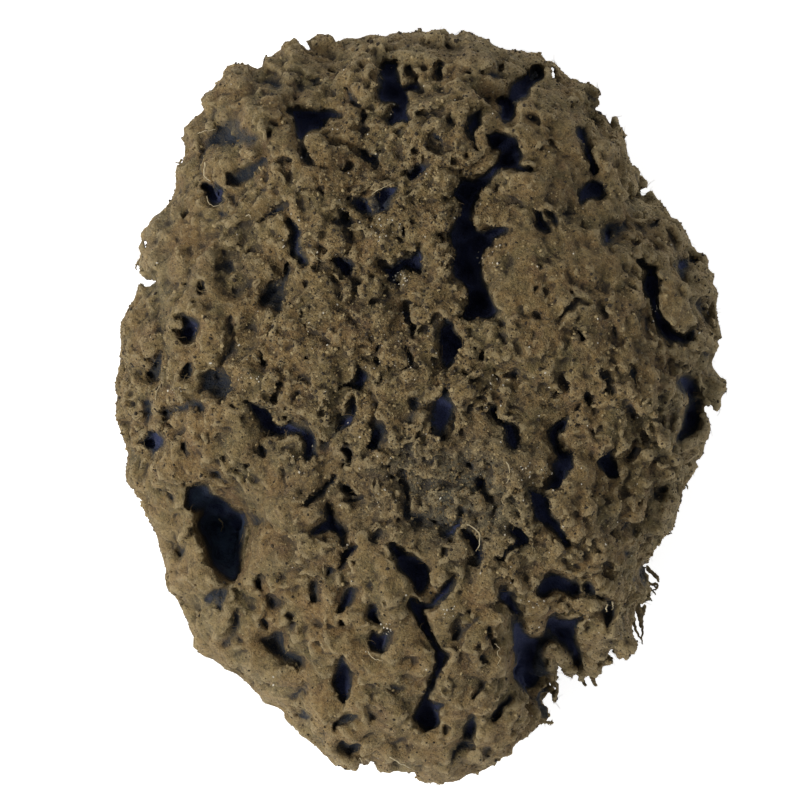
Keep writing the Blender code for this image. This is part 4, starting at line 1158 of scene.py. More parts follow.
@dataclass
class SpongeBody:
    """The whole grown body, as one closed skin.

    Attributes:
        triangles: How many faces its skin is thinned to.
        fill_reach: How wide a gap is filled before the hollows are cut afresh, in mm.
        fill_z: How high a place has to stand for its gaps to be filled, in mm.
        join: How wide the turn is where flesh is joined on, in mm.
        side_z: Where the flanks begin, in mm.
        floor_z: How low a hollow may reach, in mm.
        run_wall: How thick the flesh outside and below a run stays, in mm.
        inset: How far the whole skin is drawn in, in mm.
        spare: How far the outline is first left outside the photograph's, in mm.
        shift_limits: How far the flanks may move out, as a value below zero, and in, in mm.
        deep_inside: From how far in a place no longer counts as near the edge, in mm.
        shallow: The share of a hollow's depth that is cut.
        lip: How softly the hollows' lips turn over, as a share of what they ask for.
        wobble_sizes: How wide the crooked turns of the hollows' edges are, in mm, with how far they go.
        tilt_size: How wide the places are in which walls lean alike, in mm.
        tilt_share: How much the lean of the walls differs from place to place, as a share.
        floor_size: How wide the bumps on the hollows' floors are, in mm.
        floor_bumps: How high those bumps stand, as a share of the depth.
        swell_size: How wide the broad swells of the crown are, in mm.
        swell_height: How high the broad swells stand, in mm.
        mound_sizes: How wide its mounds are, in mm, with how high they stand.
        ledge_sizes: How wide its ledges are, in mm, with how high they step.
        blade_size: How far apart the thin blades are, in mm.
        blade_height: How high the thin blades stand, in mm.
        warp_sizes: How wide its crooked turns are, in mm, with how far they go.
        lump_sizes: How wide its small lumps are, in mm, with how high they stand.
        lump_middle: The share of a lump's height that stands on the skin's own level.
        pit_sizes: How wide its ragged little pits are, how deep, both in mm, and where they begin.
        knob_size: How far apart its fine knobs are, in mm.
        knob_height: How high the fine knobs stand, in mm.
        crown_pores: How many round pores open on the crown.
        flank_pores: How many open on the flanks.
        base_pores: How many open on the cut base.
        keep_detail: How strongly the thinning keeps to the plain parts of the skin.
        flank_character: What the flanks are like, as shares.
        full_reaches: How far round each corner the share of flesh is stored, in mm.
    """

    name: str = "sponge_body"
    triangles: int = 197000
    fill_reach: float = 4.4
    fill_z: float = 8.0
    join: float = 0.8
    side_z: float = 22.0
    floor_z: float = 7.0
    run_wall: float = 3.0
    inset: float = 0.30
    spare: float = 0.35
    shift_limits: tuple[float, float] = (-4.0, 1.0)
    deep_inside: float = 12.0
    shallow: float = 0.62
    lip: float = 1.1
    wobble_sizes: tuple[tuple[float, float], ...] = ((3.1, 0.24), (1.3, 0.16))
    tilt_size: float = 3.6
    tilt_share: float = 1.3
    floor_size: float = 2.8
    floor_bumps: float = 0.34
    swell_size: float = 13.0
    swell_height: float = 2.2
    mound_sizes: tuple[tuple[float, float], ...] = ((8.0, 1.8), (4.4, 1.15), (2.8, 0.65))
    ledge_sizes: tuple[tuple[float, float], ...] = ((9.0, 1.0), (5.2, 0.7))
    blade_size: float = 4.6
    blade_height: float = 1.3
    warp_sizes: tuple[tuple[float, float], ...] = ((2.4, 0.38), (1.25, 0.30))
    lump_sizes: tuple[tuple[float, float], ...] = ((2.0, 0.42), (1.15, 0.32))
    lump_middle: float = 0.66
    pit_sizes: tuple[tuple[float, float, float], ...] = ((3.0, 1.2, 0.50), (1.8, 1.0, 0.42))
    knob_size: float = 1.7
    knob_height: float = 0.36
    crown_pores: int = 320
    flank_pores: int = 820
    base_pores: int = 170
    keep_detail: float = 0.03
    flank_character: tuple[tuple[str, float], ...] = (("lumps", 0.95), ("grain", 0.7), ("blades", 0.35))
    full_reaches: tuple[tuple[str, float], ...] = (("full_fine", 1.0), ("full_mid", 3.2), ("full_wide", 6.4))
    skin: SkinField = field(default_factory=SkinField)

    def build(self) -> bpy.types.Object:
        """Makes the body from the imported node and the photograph's hollows.

        Returns:
            The body, as a plain mesh in metres.
        """
        self._start_from_node()
        self._map_regions()
        self._fill_gaps()
        self._map_bends()
        self._swell()
        log.info("closed skin is swollen")
        for spur in SPURS:
            self._add_spur(spur)
        self.solid = self.skin.values.copy()
        for run in RUNS:
            places = [(*PHOTO.place(u, v), PHOTO.length(half)) for u, v, half in run.beads]
            self._cut(run.depth, run.edge, run.lean, places, self.run_wall, is_run=True)
        for hollow in HOLLOWS:
            places = [PHOTO.place(u, v) for u, v in hollow.outline]
            self._cut(hollow.depth, hollow.edge, hollow.lean, places, hollow.wall, is_run=False)
            if hollow.navy_floor_shade:
                self._lay_navy_floor_shade(hollow.navy_floor_shade, places)
        log.info("hollows are cut")
        self._pierce()
        log.info("pores are open")
        self._roughen()
        log.info("skin is roughened")
        return self._to_mesh()

    def _start_from_node(self) -> None:
        """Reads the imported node's shape into the skin field."""
        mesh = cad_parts[NODE].data
        mesh.calc_loop_triangles()
        corners = np.empty(len(mesh.loop_triangles) * 3, np.int32)
        mesh.loop_triangles.foreach_get("vertices", corners)
        self.skin.take_mesh(corners_of(mesh) / MM, corners.reshape(-1, 3))
        self.skin.soften(2)

    def _map_regions(self) -> None:
        """Spreads each region's character over the ground, with soft borders."""
        x, y = np.meshgrid(self.skin.x, self.skin.y, indexing="ij")
        names = ("lumps", "grain", "crumb", "fleece", "blades", "cool", "pale")
        totals = {name: np.full(x.shape, 1e-4, np.float32) * 0.7 for name in names}
        weights = np.full(x.shape, 1e-4, np.float32)
        for region in REGIONS:
            middle_x, middle_y = PHOTO.place(*region.middle)
            reach_x, reach_y = (PHOTO.length(reach) for reach in region.reach)
            weight = np.exp(-((x - middle_x) / reach_x) ** 2 - ((y - middle_y) / reach_y) ** 2)
            weights += weight
            for name in names:
                totals[name] += weight * getattr(region, name)
        self.character = {name: total / weights for name, total in totals.items()}

    def _fill_gaps(self) -> None:
        """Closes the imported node's coarse clefts, so that they can be cut afresh with crisp lips."""
        step = self.skin.step
        crown = np.maximum(self.skin.top(), self.side_z)
        reach = int(self.fill_reach / step)
        disc = [(i, j) for i in range(-reach, reach + 1) for j in range(-reach, reach + 1)
                if i * i + j * j <= reach * reach and (i + j) % 2 == 0]
        high = np.maximum.reduce([np.roll(crown, shift, (0, 1)) for shift in disc])
        closed = self._evened(np.minimum.reduce([np.roll(high, shift, (0, 1)) for shift in disc]), 10)
        slope = np.hypot(*np.gradient(closed, step))
        over = (self.skin.z[None, None, :] - closed[:, :, None]) / np.sqrt(1.0 + slope[:, :, None] ** 2)
        footed = (self.skin.top() > self.fill_z)[:, :, None] & (self.skin.z > self.side_z)[None, None, :]
        over = np.where(footed, np.clip(over, -self.skin.band, self.skin.band), self.skin.band)
        self.skin.values = -smooth_max(-self.skin.values, -over.astype(np.float32), self.join)

    def _map_bends(self) -> None:
        """Spreads over the ground how the hollows' edges, walls and floors stray from their traces."""
        ground = np.meshgrid(self.skin.x, self.skin.y, [0.0], indexing="ij")
        flat = np.stack([axis.ravel() for axis in ground], axis=1).astype(np.float32)
        shape = self.skin.count[:2]
        self.wobble = [np.zeros(shape, np.float32) for _ in (0, 1)]
        for row, (size, reach) in enumerate(self.wobble_sizes):
            for axis in (0, 1):
                bends = Lattice(Layer.WOBBLE, 2 * row + axis).smooth(flat, size) * reach
                self.wobble[axis] += bends.reshape(shape)
        self.tilt = Lattice(Layer.TILT).smooth(flat, self.tilt_size).reshape(shape)
        self.floor = Lattice(Layer.FLOOR).smooth(flat, self.floor_size).reshape(shape)

    def _evened(self, level: Array, passes: int) -> Array:
        """Evens a height map out.

        Args:
            level: The heights, in mm.
            passes: How many times each is averaged with its neighbours.

        Returns:
            The evened heights.
        """
        for _ in range(passes):
            for axis in (0, 1):
                level = 0.5 * level + 0.25 * (np.roll(level, 1, axis) + np.roll(level, -1, axis))
        return level.astype(np.float32)

    def _shares(self, spots: Array, places: Array) -> tuple[Array, ...]:
        """Finds what the skin is like at each place.

        Args:
            spots: The places' numbers in the flat block.
            places: The places, in mm.

        Returns:
            The shares of lumps, grain and blades, and how far each place belongs to the flanks.
        """
        ground = spots // self.skin.count[2]
        flank = np.clip((self.side_z - places[:, 2]) / 8.0, 0.0, 1.0)
        found = []
        for name, on_flank in self.flank_character:
            share = self.character[name].ravel()[ground]
            found.append(share + (on_flank - share) * flank)
        return (*found, flank)

    def _swell(self) -> None:
        """Raises broad swells, mounds, ledges and blades on the closed skin."""
        skin = self.skin
        spots, places = skin.near(3.4)
        lumps, _, blades, _ = self._shares(spots, places)
        broad = places * np.float32((1.0, 1.0, 0.0))
        swell = Lattice(Layer.SWELL).smooth(broad, self.swell_size)
        swell = swell + 0.5 * Lattice(Layer.SWELL, 1).smooth(broad, 0.55 * self.swell_size)
        crown_share = np.clip((places[:, 2] - self.side_z - 2.0) / 14.0, 0.0, 1.0)
        bent = places.copy()
        bent[:, 2] += self.swell_height * swell * crown_share * (0.35 + 0.65 * lumps)
        values = skin.sample(skin.values, bent)
        for number, (size, height) in enumerate(self.mound_sizes):
            mound = np.abs(Lattice(Layer.MOUND, number).smooth(places, size))
            values -= height * lumps * (np.minimum(mound * 1.6, 1.0) - self.lump_middle)
        for number, (size, height) in enumerate(self.ledge_sizes):
            ledge = Lattice(Layer.LEDGE, number).smooth(places, size)
            ledge += 0.25 * Lattice(Layer.LEDGE_EDGE, number).smooth(places, 0.28 * size)
            ledge = np.clip(ledge / 0.14 + 0.5, 0.0, 1.0)
            values -= height * (0.3 + 0.7 * lumps) * (ledge * ledge * (3.0 - 2.0 * ledge) - 0.5)
        drawn_out = places * np.float32((1.0, 0.45, 1.0))
        ridge = 1.0 - np.abs(Lattice(Layer.BLADE).smooth(drawn_out, self.blade_size))
        values -= self.blade_height * blades * (np.maximum(ridge, 0.0) ** 3 - 0.25)
        skin.values.ravel()[spots] = values
        self._match_outline()
        self.crown = self._evened(np.maximum(skin.top(), self.side_z), 4)
        # maps of painted shade: how dark each traced hollow is painted, and where a hollow's floor gets
        # painted navy shade
        self.painted_hollow_shade = np.zeros(self.crown.shape, np.float32)
        self.navy_floor_shade = np.zeros(self.crown.shape, np.float32)

    def _match_outline(self) -> None:
        """Moves the flanks in or out, so that the sponge's outline from above is the photograph's."""
        skin = self.skin
        x, y = np.meshgrid(skin.x, skin.y, indexing="ij")
        self.outline = outline_distance(x, y, [PHOTO.place(u, v) for u, v in OUTLINE])
        body = self._footprint_distance(x, y)
        reach = np.clip((self.outline + 8.0) / 4.0, 0.0, 1.0)
        target = self.outline - self.inset - self.spare
        shift = np.clip(target - body, *self.shift_limits) * reach
        lean = np.gradient(self._evened(body, 12), skin.step)
        steep = np.maximum(np.hypot(*lean), 0.2)
        i, j = np.nonzero(np.abs(shift) > 0.02)
        at = [np.clip(n + (shift * way / steep)[i, j] / skin.step, 0.0, count - 1.001)
              for n, way, count in zip((i, j), lean, skin.count)]
        first = [a.astype(int) for a in at]
        part = [(a - b)[:, None].astype(np.float32) for a, b in zip(at, first)]
        moved = np.zeros((len(i), skin.count[2]), np.float32)
        for step_i, step_j in ((0, 0), (0, 1), (1, 0), (1, 1)):
            weight = (part[0] if step_i else 1.0 - part[0]) * (part[1] if step_j else 1.0 - part[1])
            moved += weight * skin.values[first[0] + step_i, first[1] + step_j]
        skin.values[i, j] = moved
        skin.values = smooth_max(skin.values, target[:, :, None], 0.5)
        # how near the edge each place is, for the pale rim, which is partly painted light on the thin, lit
        # edges
        self.pale_and_lit_rim = np.clip(1.0 + self.outline / 8.0, 0.0, 1.0)
        for spur in SPURS:
            beads = [(*PHOTO.place(u, v), PHOTO.length(half)) for u, v, half, _ in spur.beads]
            self.outline = np.minimum(self.outline, bead_distance(x, y, beads))
        for notch in NOTCHES:
            bay = outline_distance(x, y, [PHOTO.place(u, v) for u, v in notch.outline])
            self.outline = np.maximum(self.outline, -bay)

    def _footprint_distance(self, x: Array, y: Array) -> Array:
        """Measures how far each place of the ground lies from the edge of the sponge's own footprint.

        Args:
            x: Places across, in mm.
            y: Places along, in mm.

        Returns:
            The distance in mm, below zero inside.
        """
        level = self.skin.values.min(axis=2)
        edge = []
        for axis in (0, 1):
            beyond = np.roll(level, -1, axis)
            crossed = np.nonzero((level < 0.0) != (beyond < 0.0))
            share = level[crossed] / (level[crossed] - beyond[crossed]) * self.skin.step
            spots = [x[crossed] + share * (axis == 0), y[crossed] + share * (axis == 1)]
            edge.append(np.stack(spots, axis=1))
        edge = np.concatenate(edge).astype(np.float32)
        near = np.full(x.shape, self.deep_inside, np.float32)
        for row in range(x.shape[0]):
            wanted = np.flatnonzero(self.outline[row] > 3.0 - self.deep_inside)
            gap = (x[row, wanted, None] - edge[:, 0]) ** 2 + (y[row, wanted, None] - edge[:, 1]) ** 2
            near[row, wanted] = np.sqrt(gap.min(axis=1))
        return np.where(level < 0.0, -near, near)

    def _add_spur(self, spur: Spur) -> None:
        """Adds flesh along a spur's beads.

        Args:
            spur: The spur.
        """
        beads = [(*PHOTO.place(u, v), z, PHOTO.length(half) + self.inset) for u, v, half, z in spur.beads]
        room = 3.0
        part = self.skin.window(
            [min(b[axis] - b[3] for b in beads) - room for axis in range(3)],
            [max(b[axis] + b[3] for b in beads) + room for axis in range(3)])
        x, y, z = np.ix_(self.skin.x[part[0]], self.skin.y[part[1]], self.skin.z[part[2]])
        near = np.full(np.broadcast(x, y, z).shape, 9.0, np.float32)
        for (ax, ay, az, ar), (bx, by, bz, br) in zip(beads, beads[1:]):
            run = np.array((bx - ax, by - ay, bz - az), np.float32)
            share = ((x - ax) * run[0] + (y - ay) * run[1] + (z - az) * run[2]) / float(run @ run)
            share = np.clip(share, 0.0, 1.0)
            gap = np.sqrt((x - ax - run[0] * share) ** 2 + (y - ay - run[1] * share) ** 2
                          + (z - az - run[2] * share) ** 2)
            near = np.minimum(near, gap - (ar + (br - ar) * share))
        self.skin.add(part, near, self.join)

    def _cut(self, depth: float, edge: float, lean: float, places: list, thick: float, is_run: bool) -> None:
        """Cuts one hollow down from the crown.

        Args:
            depth: How deep it goes, in mm.
            edge: How softly its lip turns over, in mm.
            lean: How much its walls close in for each mm down.
            places: Its outline or its beads, in mm.
            thick: How thick the flesh outside and below it stays, in mm.
            is_run: Whether the places are beads.
        """
        room = 2.5 + edge
        radii = [p[2] if is_run else 0.0 for p in places]
        low = [min(p[axis] - r for p, r in zip(places, radii)) - room for axis in (0, 1)]
        high = [max(p[axis] + r for p, r in zip(places, radii)) + room for axis in (0, 1)]
        ground = self.skin.window([*low, 0.0], [*high, 0.0])[:2]
        crown = self.crown[ground]
        lowest = float(crown.min()) - 1.4 * depth - 3.0
        part = self.skin.window([*low, lowest], [*high, float(self.skin.z[-1])])
        x, y = np.ix_(self.skin.x[part[0]], self.skin.y[part[1]])
        z = self.skin.z[part[2]][None, None, :]
        x = x + self.wobble[0][ground]
        y = y + self.wobble[1][ground]
        side = bead_distance(x, y, places) if is_run else outline_distance(x, y, places)
        half = max(0.4, -float(side.min()))
        # painted shade inside the traced outline, darker for deeper hollows
        darkest = min(1.0 if edge < 0.8 else 0.7, 0.2 + depth / 11.0)
        dark = np.clip(0.42 - side / (0.5 + 0.9 * edge), 0.0, 1.0) * darkest
        self.painted_hollow_shade[ground] = np.maximum(self.painted_hollow_shade[ground], dark)
        share = np.clip(-side / half, 0.0, 1.0)
        floor = self.shallow * depth * (0.5 + 0.5 * (1.0 - (1.0 - share) ** 2))
        floor = floor * (1.0 + self.floor_bumps * self.floor[ground])
        down = crown[:, :, None] - z
        tilt = lean * (1.0 + self.tilt_share * self.tilt[ground])
        wall = side[:, :, None] + np.maximum(down, 0.0) * tilt[:, :, None]
        cutter = smooth_max(wall, down - floor[:, :, None], min(1.0, 0.6 * half + 0.1))
        cutter = np.maximum(cutter, self.floor_z - z)
        above = 4.0 * self.skin.band * np.clip((5.0 - down) / 2.5, 0.0, 1.0)
        cutter = np.maximum(cutter, self.solid[part] + thick - above)
        turn = edge * self.lip * np.clip(0.9 + 0.9 * self.floor[ground], 0.25, 1.8)
        self.skin.remove(part, cutter.astype(np.float32), turn[:, :, None])

    def _lay_navy_floor_shade(self, share: float, places: list[Point]) -> None:
        """Marks the ground over which a hollow's floor gets painted navy shade.

        Args:
            share: How strong the painted shade is.
            places: The hollow's outline, in mm.
        """
        x, y = np.meshgrid(self.skin.x, self.skin.y, indexing="ij")
        inside = np.clip(-outline_distance(x, y, places) / 1.2, 0.0, 1.0)
        self.navy_floor_shade = np.maximum(self.navy_floor_shade, share * inside)

    def _pierce(self) -> None:
        """Opens small round pores all over, and canals in the cut base."""
        rng = np.random.default_rng(SEED)
        _, places = self.skin.near(0.35 * self.skin.step)
        columns = self._columns(places)
        below = self.crown[columns] - places[:, 2]
        crumb = self.character["crumb"][columns]
        on_base = places[:, 2] < 0.3
        on_crown = (below < 3.0) & (places[:, 2] > self.side_z)
        on_flank = ~on_base & ~on_crown & (places[:, 2] < self.side_z + 6.0) & (places[:, 2] > 2.0)
        kinds = (
            (on_crown, self.crown_pores, 0.30, 0.70, 3.0, 0.35 + crumb),
            (on_flank, self.flank_pores, 0.45, 2.3, 3.0, np.ones(len(places))),
            (on_base, self.base_pores, 0.6, 2.6, 3.6, np.ones(len(places))),
        )
        for chosen, count, small, large, length, weight in kinds:
            odds = chosen * weight
            picked = rng.choice(len(places), count, replace=False, p=odds / odds.sum())
            spots = places[picked]
            inward = -self.skin.outward(spots)
            inward += rng.normal(0.0, 0.25, inward.shape)
            inward /= np.linalg.norm(inward, axis=1, keepdims=True)
            radii = small + (large - small) * rng.random(count) ** 3.0
            for spot, way, radius in zip(spots, inward, radii):
                self._pore(spot, way, float(radius), float(radius) * length * (0.6 + 0.8 * rng.random()))

    def _pore(self, spot: Array, way: Array, radius: float, length: float) -> None:
        """Opens one round pore.

        Args:
            spot: Where it opens, in mm.
            way: The direction that it goes in.
            radius: Its radius at the mouth, in mm.
            length: How far it goes in, in mm.
        """
        end = spot + way * length
        room = radius + 1.0
        part = self.skin.window(np.minimum(spot, end) - room, np.maximum(spot, end) + room)
        x, y, z = np.ix_(self.skin.x[part[0]], self.skin.y[part[1]], self.skin.z[part[2]])
        along = ((x - spot[0]) * way[0] + (y - spot[1]) * way[1] + (z - spot[2]) * way[2]) / length
        along = np.clip(along, 0.0, 1.0)
        gap = np.sqrt((x - spot[0] - way[0] * length * along) ** 2
                      + (y - spot[1] - way[1] * length * along) ** 2
                      + (z - spot[2] - way[2] * length * along) ** 2)
        self.skin.remove(part, (gap - radius * (1.0 - 0.35 * along)).astype(np.float32), 0.3)

    def _roughen(self) -> None:
        """Frays the cut skin: crooked turns, small lumps, ragged pits and fine knobs."""
        skin = self.skin
        spots, places = skin.near(1.7)
        lumps, grain, _, flank = self._shares(spots, places)
        crumb = self.character["crumb"].ravel()[spots // skin.count[2]]
        crumb = crumb + (0.6 - crumb) * flank
        bent = places.copy()
        for number, (size, reach) in enumerate(self.warp_sizes):
            for axis in range(3):
                lattice = Lattice(Layer.WARP, 3 * number + axis)
                bent[:, axis] += reach * (0.35 + 0.65 * grain) * lattice.smooth(places, size)
        values = skin.sample(skin.values, bent) + self.inset
        for number, (size, height) in enumerate(self.lump_sizes):
            swell = np.abs(Lattice(Layer.LUMP, number).smooth(bent, size))
            values -= height * (0.3 * lumps + 0.7 * grain) * (np.minimum(swell * 1.6, 1.0) - self.lump_middle)
        for number, (size, depth, start) in enumerate(self.pit_sizes):
            pit = np.clip((Lattice(Layer.PIT, number).smooth(bent, size) - start) / 0.25, 0.0, 1.0)
            values += depth * (0.25 + 0.75 * crumb) * pit * pit * (3.0 - 2.0 * pit)
        close = np.flatnonzero(np.abs(values) < 1.0)
        knobs = np.minimum(Lattice(Layer.KNOB).knobs(bent[close], self.knob_size), 1.0)
        values[close] += self.knob_height * (0.25 + 0.75 * grain[close]) * (knobs ** 2 - 0.33)
        skin.values.ravel()[spots] = values
        pierced = (skin.values.min(axis=2) > -0.6) & (self.solid.min(axis=2) < -0.6) & (self.outline < -0.5)
        plug = np.maximum(self.solid + 0.2, (skin.z - (self.crown - 5.0)[:, :, None]))
        plug = np.maximum(plug, 3.0 * (self._evened(pierced, 8) < 0.02)[:, :, None])
        skin.values = np.minimum(skin.values, plug)
        skin.values = np.maximum(skin.values, self.outline[:, :, None])
        skin.values = np.maximum(skin.values, -skin.z[None, None, :])
        self.height = skin.top()

    def _columns(self, places: Array) -> tuple[Array, Array]:
        """Gives the ground square that each place stands over."""
        return tuple(np.clip(np.rint(places[:, axis] / self.skin.step).astype(int) - self.skin.low[axis], 0,
                             self.skin.count[axis] - 1) for axis in (0, 1))

    def lip_height(self, x: float, y: float, spread: int = 2) -> float:
        """Gives the highest skin close to a place.

        Args:
            x: The place across, in mm.
            y: The place along, in mm.
            spread: How many steps away the skin is looked at.

        Returns:
            Its height, in mm.
        """
        i, j = (round(place / self.skin.step) - self.skin.low[axis] for axis, place in enumerate((x, y)))
        return float(self.height[i - spread:i + spread + 1, j - spread:j + spread + 1].max())

    def broken_place(self, rng: np.random.Generator) -> Point:
        """Picks a random place on the crown, most often where the skin is broken.

        Args:
            rng: The source of chance.

        Returns:
            The place, in mm.
        """
        while True:
            i, j = (int(rng.integers(3, self.skin.count[axis] - 3)) for axis in (0, 1))
            on_crown = self.height[i, j] > max(self.side_z, self.crown[i, j] - 2.5)
            if on_crown and rng.random() < self.character["crumb"][i, j]:
                return float(self.skin.x[i]), float(self.skin.y[j])

    def _to_mesh(self) -> bpy.types.Object:
        """Meshes the skin, thins it and stores what the finish reads.

        Returns:
            The body, in metres.
        """
        points, faces = largest_piece(*self.skin.skin())
        log.info("full skin has %d faces", len(faces))
        piece = plain_mesh(self.name, points, faces)
        below = self.crown[self._columns(points)] - points[:, 2]
        above = points[:, 2] > self.side_z - 4.0
        group = piece.vertex_groups.new(name="plain")
        shown = above & (below < 4.0)
        hidden = ~above | (below >= 9.0)
        for chosen, weight in ((shown, 0.02), (~shown & ~hidden, 0.2), (hidden, 1.0)):
            group.add(np.flatnonzero(chosen).tolist(), weight, "REPLACE")
        thin = piece.modifiers.new("thin", "DECIMATE")
        thin.ratio = self.triangles / len(faces)
        thin.vertex_group = group.name
        thin.vertex_group_factor = self.keep_detail
        thin.use_collapse_triangulate = True
        baked(piece)
        piece.vertex_groups.clear()
        mesh = piece.data
        places = corners_of(mesh)
        full = {}
        for name, reach in self.full_reaches:
            full[name] = self.skin.sample(self.skin.fullness(reach), places)
            set_attribute(mesh, name, full[name])
        columns = self._columns(places)
        within = np.clip(-self.skin.sample(self.solid, places) / 2.0, 0.0, 1.0)
        sunk = within * np.clip((self.crown[columns] - places[:, 2]) / 10.0, 0.0, 1.0)
        set_attribute(mesh, "sunk", sunk)
        # painted shade of the traced hollows, kept off their lips
        painted_hollow_shade = self.skin.sample(np.broadcast_to(self.painted_hollow_shade[:, :, None], self.skin.count), places)
        set_attribute(mesh, "painted_hollow_shade", painted_hollow_shade * np.clip(2.0 * within - 0.2, 0.0, 1.0))
        set_attribute(mesh, "navy_floor_shade", self.navy_floor_shade[columns] * np.clip(2.5 * sunk - 1.2, 0.0, 1.0))
        up = np.clip((places[:, 2] - 6.0) / 12.0, 0.0, 1.0)
        rim = np.clip((0.56 - full["full_fine"]) / 0.16, 0.0, 1.0)
        open_air = np.clip(1.0 - 1.6 * sunk, 0.0, 1.0)
        clear = np.clip((places[:, 2] - 3.0) / 2.0, 0.0, 1.0)
        for name in ("crumb", "fleece"):
            share = self.character[name][columns]
            set_attribute(mesh, name, share * up)
            set_attribute(mesh, name + "_odds", (0.06 + share) * (0.25 + up) * (0.3 + rim) * open_air * clear)
        set_attribute(mesh, "cool", self.character["cool"][columns] * up)
        # pale rim: partly paler flesh, partly painted light on the thin, lit edges
        pale = self.character["pale"][columns] * self.pale_and_lit_rim[columns]
        set_attribute(mesh, "pale", pale * (0.3 + 0.7 * up))
        mesh.vertices.foreach_set("co", (places * MM).ravel())
        mesh.update()
        mesh.shade_smooth()
        log.info("crown has %d of %d corners", np.count_nonzero(places[:, 2] > self.side_z), len(places))
        return piece


Number = Union["Value", float]


class Value:
    """A number that changes over a surface. An expression on values adds Math nodes to the tree."""

    def __init__(self, tree: bpy.types.NodeTree, socket: bpy.types.NodeSocket) -> None:
        """Wraps a socket.

        Args:
            tree: The tree that the socket is in.
            socket: The socket.
        """
        self.tree = tree
        self.socket = socket

    def math(self, operation: str, *others: Number, first: float | None = None) -> "Value":
        """Adds a Math node.

        Args:
            operation: What the node does.
            *others: The values after this one.
            first: A plain number that stands before this value instead.

        Returns:
            The node's result.
        """
        node = self.tree.nodes.new("ShaderNodeMath")
        node.operation = operation
        values: list[Any] = [self, *others] if first is None else [first, self]
        for place, value in zip(node.inputs, values):
            if isinstance(value, Value):
                self.tree.links.new(value.socket, place)
            else:
                place.default_value = value
        return Value(self.tree, node.outputs[0])

    def __add__(self, other: Number) -> "Value":
        """Adds."""
        return self.math("ADD", other)

    def __radd__(self, other: float) -> "Value":
        """Adds."""
        return self.math("ADD", other)

    def __sub__(self, other: Number) -> "Value":
        """Takes away."""
        return self.math("SUBTRACT", other)

    def __rsub__(self, other: float) -> "Value":
        """Takes this away from a number."""
        return self.math("SUBTRACT", first=other)

    def __mul__(self, other: Number) -> "Value":
        """Multiplies."""
        return self.math("MULTIPLY", other)

    def __rmul__(self, other: float) -> "Value":
        """Multiplies."""
        return self.math("MULTIPLY", other)

    def __pow__(self, other: float) -> "Value":
        """Raises to a power."""
        return self.math("POWER", other)

    def between(self, low: float, high: float) -> "Value":
        """Turns a span of values into a soft step from 0 to 1.

        Args:
            low: The value that gives 0.
            high: The value that gives 1.

        Returns:
            The soft step.
        """
        node = self.tree.nodes.new("ShaderNodeMapRange")
        node.interpolation_type = "SMOOTHSTEP"
        self.tree.links.new(self.socket, node.inputs["Value"])
        node.inputs["From Min"].default_value = low
        node.inputs["From Max"].default_value = high
        return Value(self.tree, node.outputs["Result"])


Colour = tuple[float, float, float]


class NodeBench:
    """A tree of nodes, with one way to add a node."""

    def __init__(self, tree: bpy.types.NodeTree) -> None:
        """Takes a tree.

        Args:
            tree: The tree that nodes are added to.
        """
        self.tree = tree

    @staticmethod
    def socket(sockets: Iterable[bpy.types.NodeSocket], name: str) -> bpy.types.NodeSocket:
        """Finds the socket of a name that the node has in use."""
        return next(socket for socket in sockets if socket.name == name and socket.enabled)

    def node(self, kind: str, settings: dict[str, Any] | None = None, **sockets: Any) -> bpy.types.Node:
        """Adds a node.

        Args:
            kind: The node's type.
            settings: Its own settings, which are set first.
            **sockets: What goes into its sockets, by name with spaces as underscores.

        Returns:
            The node.
        """
        made = self.tree.nodes.new(kind)
        for key, value in (settings or {}).items():
            setattr(made, key, value)
        for key, value in sockets.items():
            self.feed(self.socket(made.inputs, key.replace("_", " ")), value)
        return made

    def feed(self, place: bpy.types.NodeSocket, value: Any) -> None:
        """Links or sets a socket.

        Args:
            place: The socket.
            value: A value, another socket, a colour or a number.
        """
        if isinstance(value, Value):
            self.tree.links.new(value.socket, place)
        elif isinstance(value, bpy.types.NodeSocket):
            self.tree.links.new(value, place)
        elif isinstance(value, tuple) and place.type == "RGBA":
            place.default_value = (*value, 1.0)
        else:
            place.default_value = value


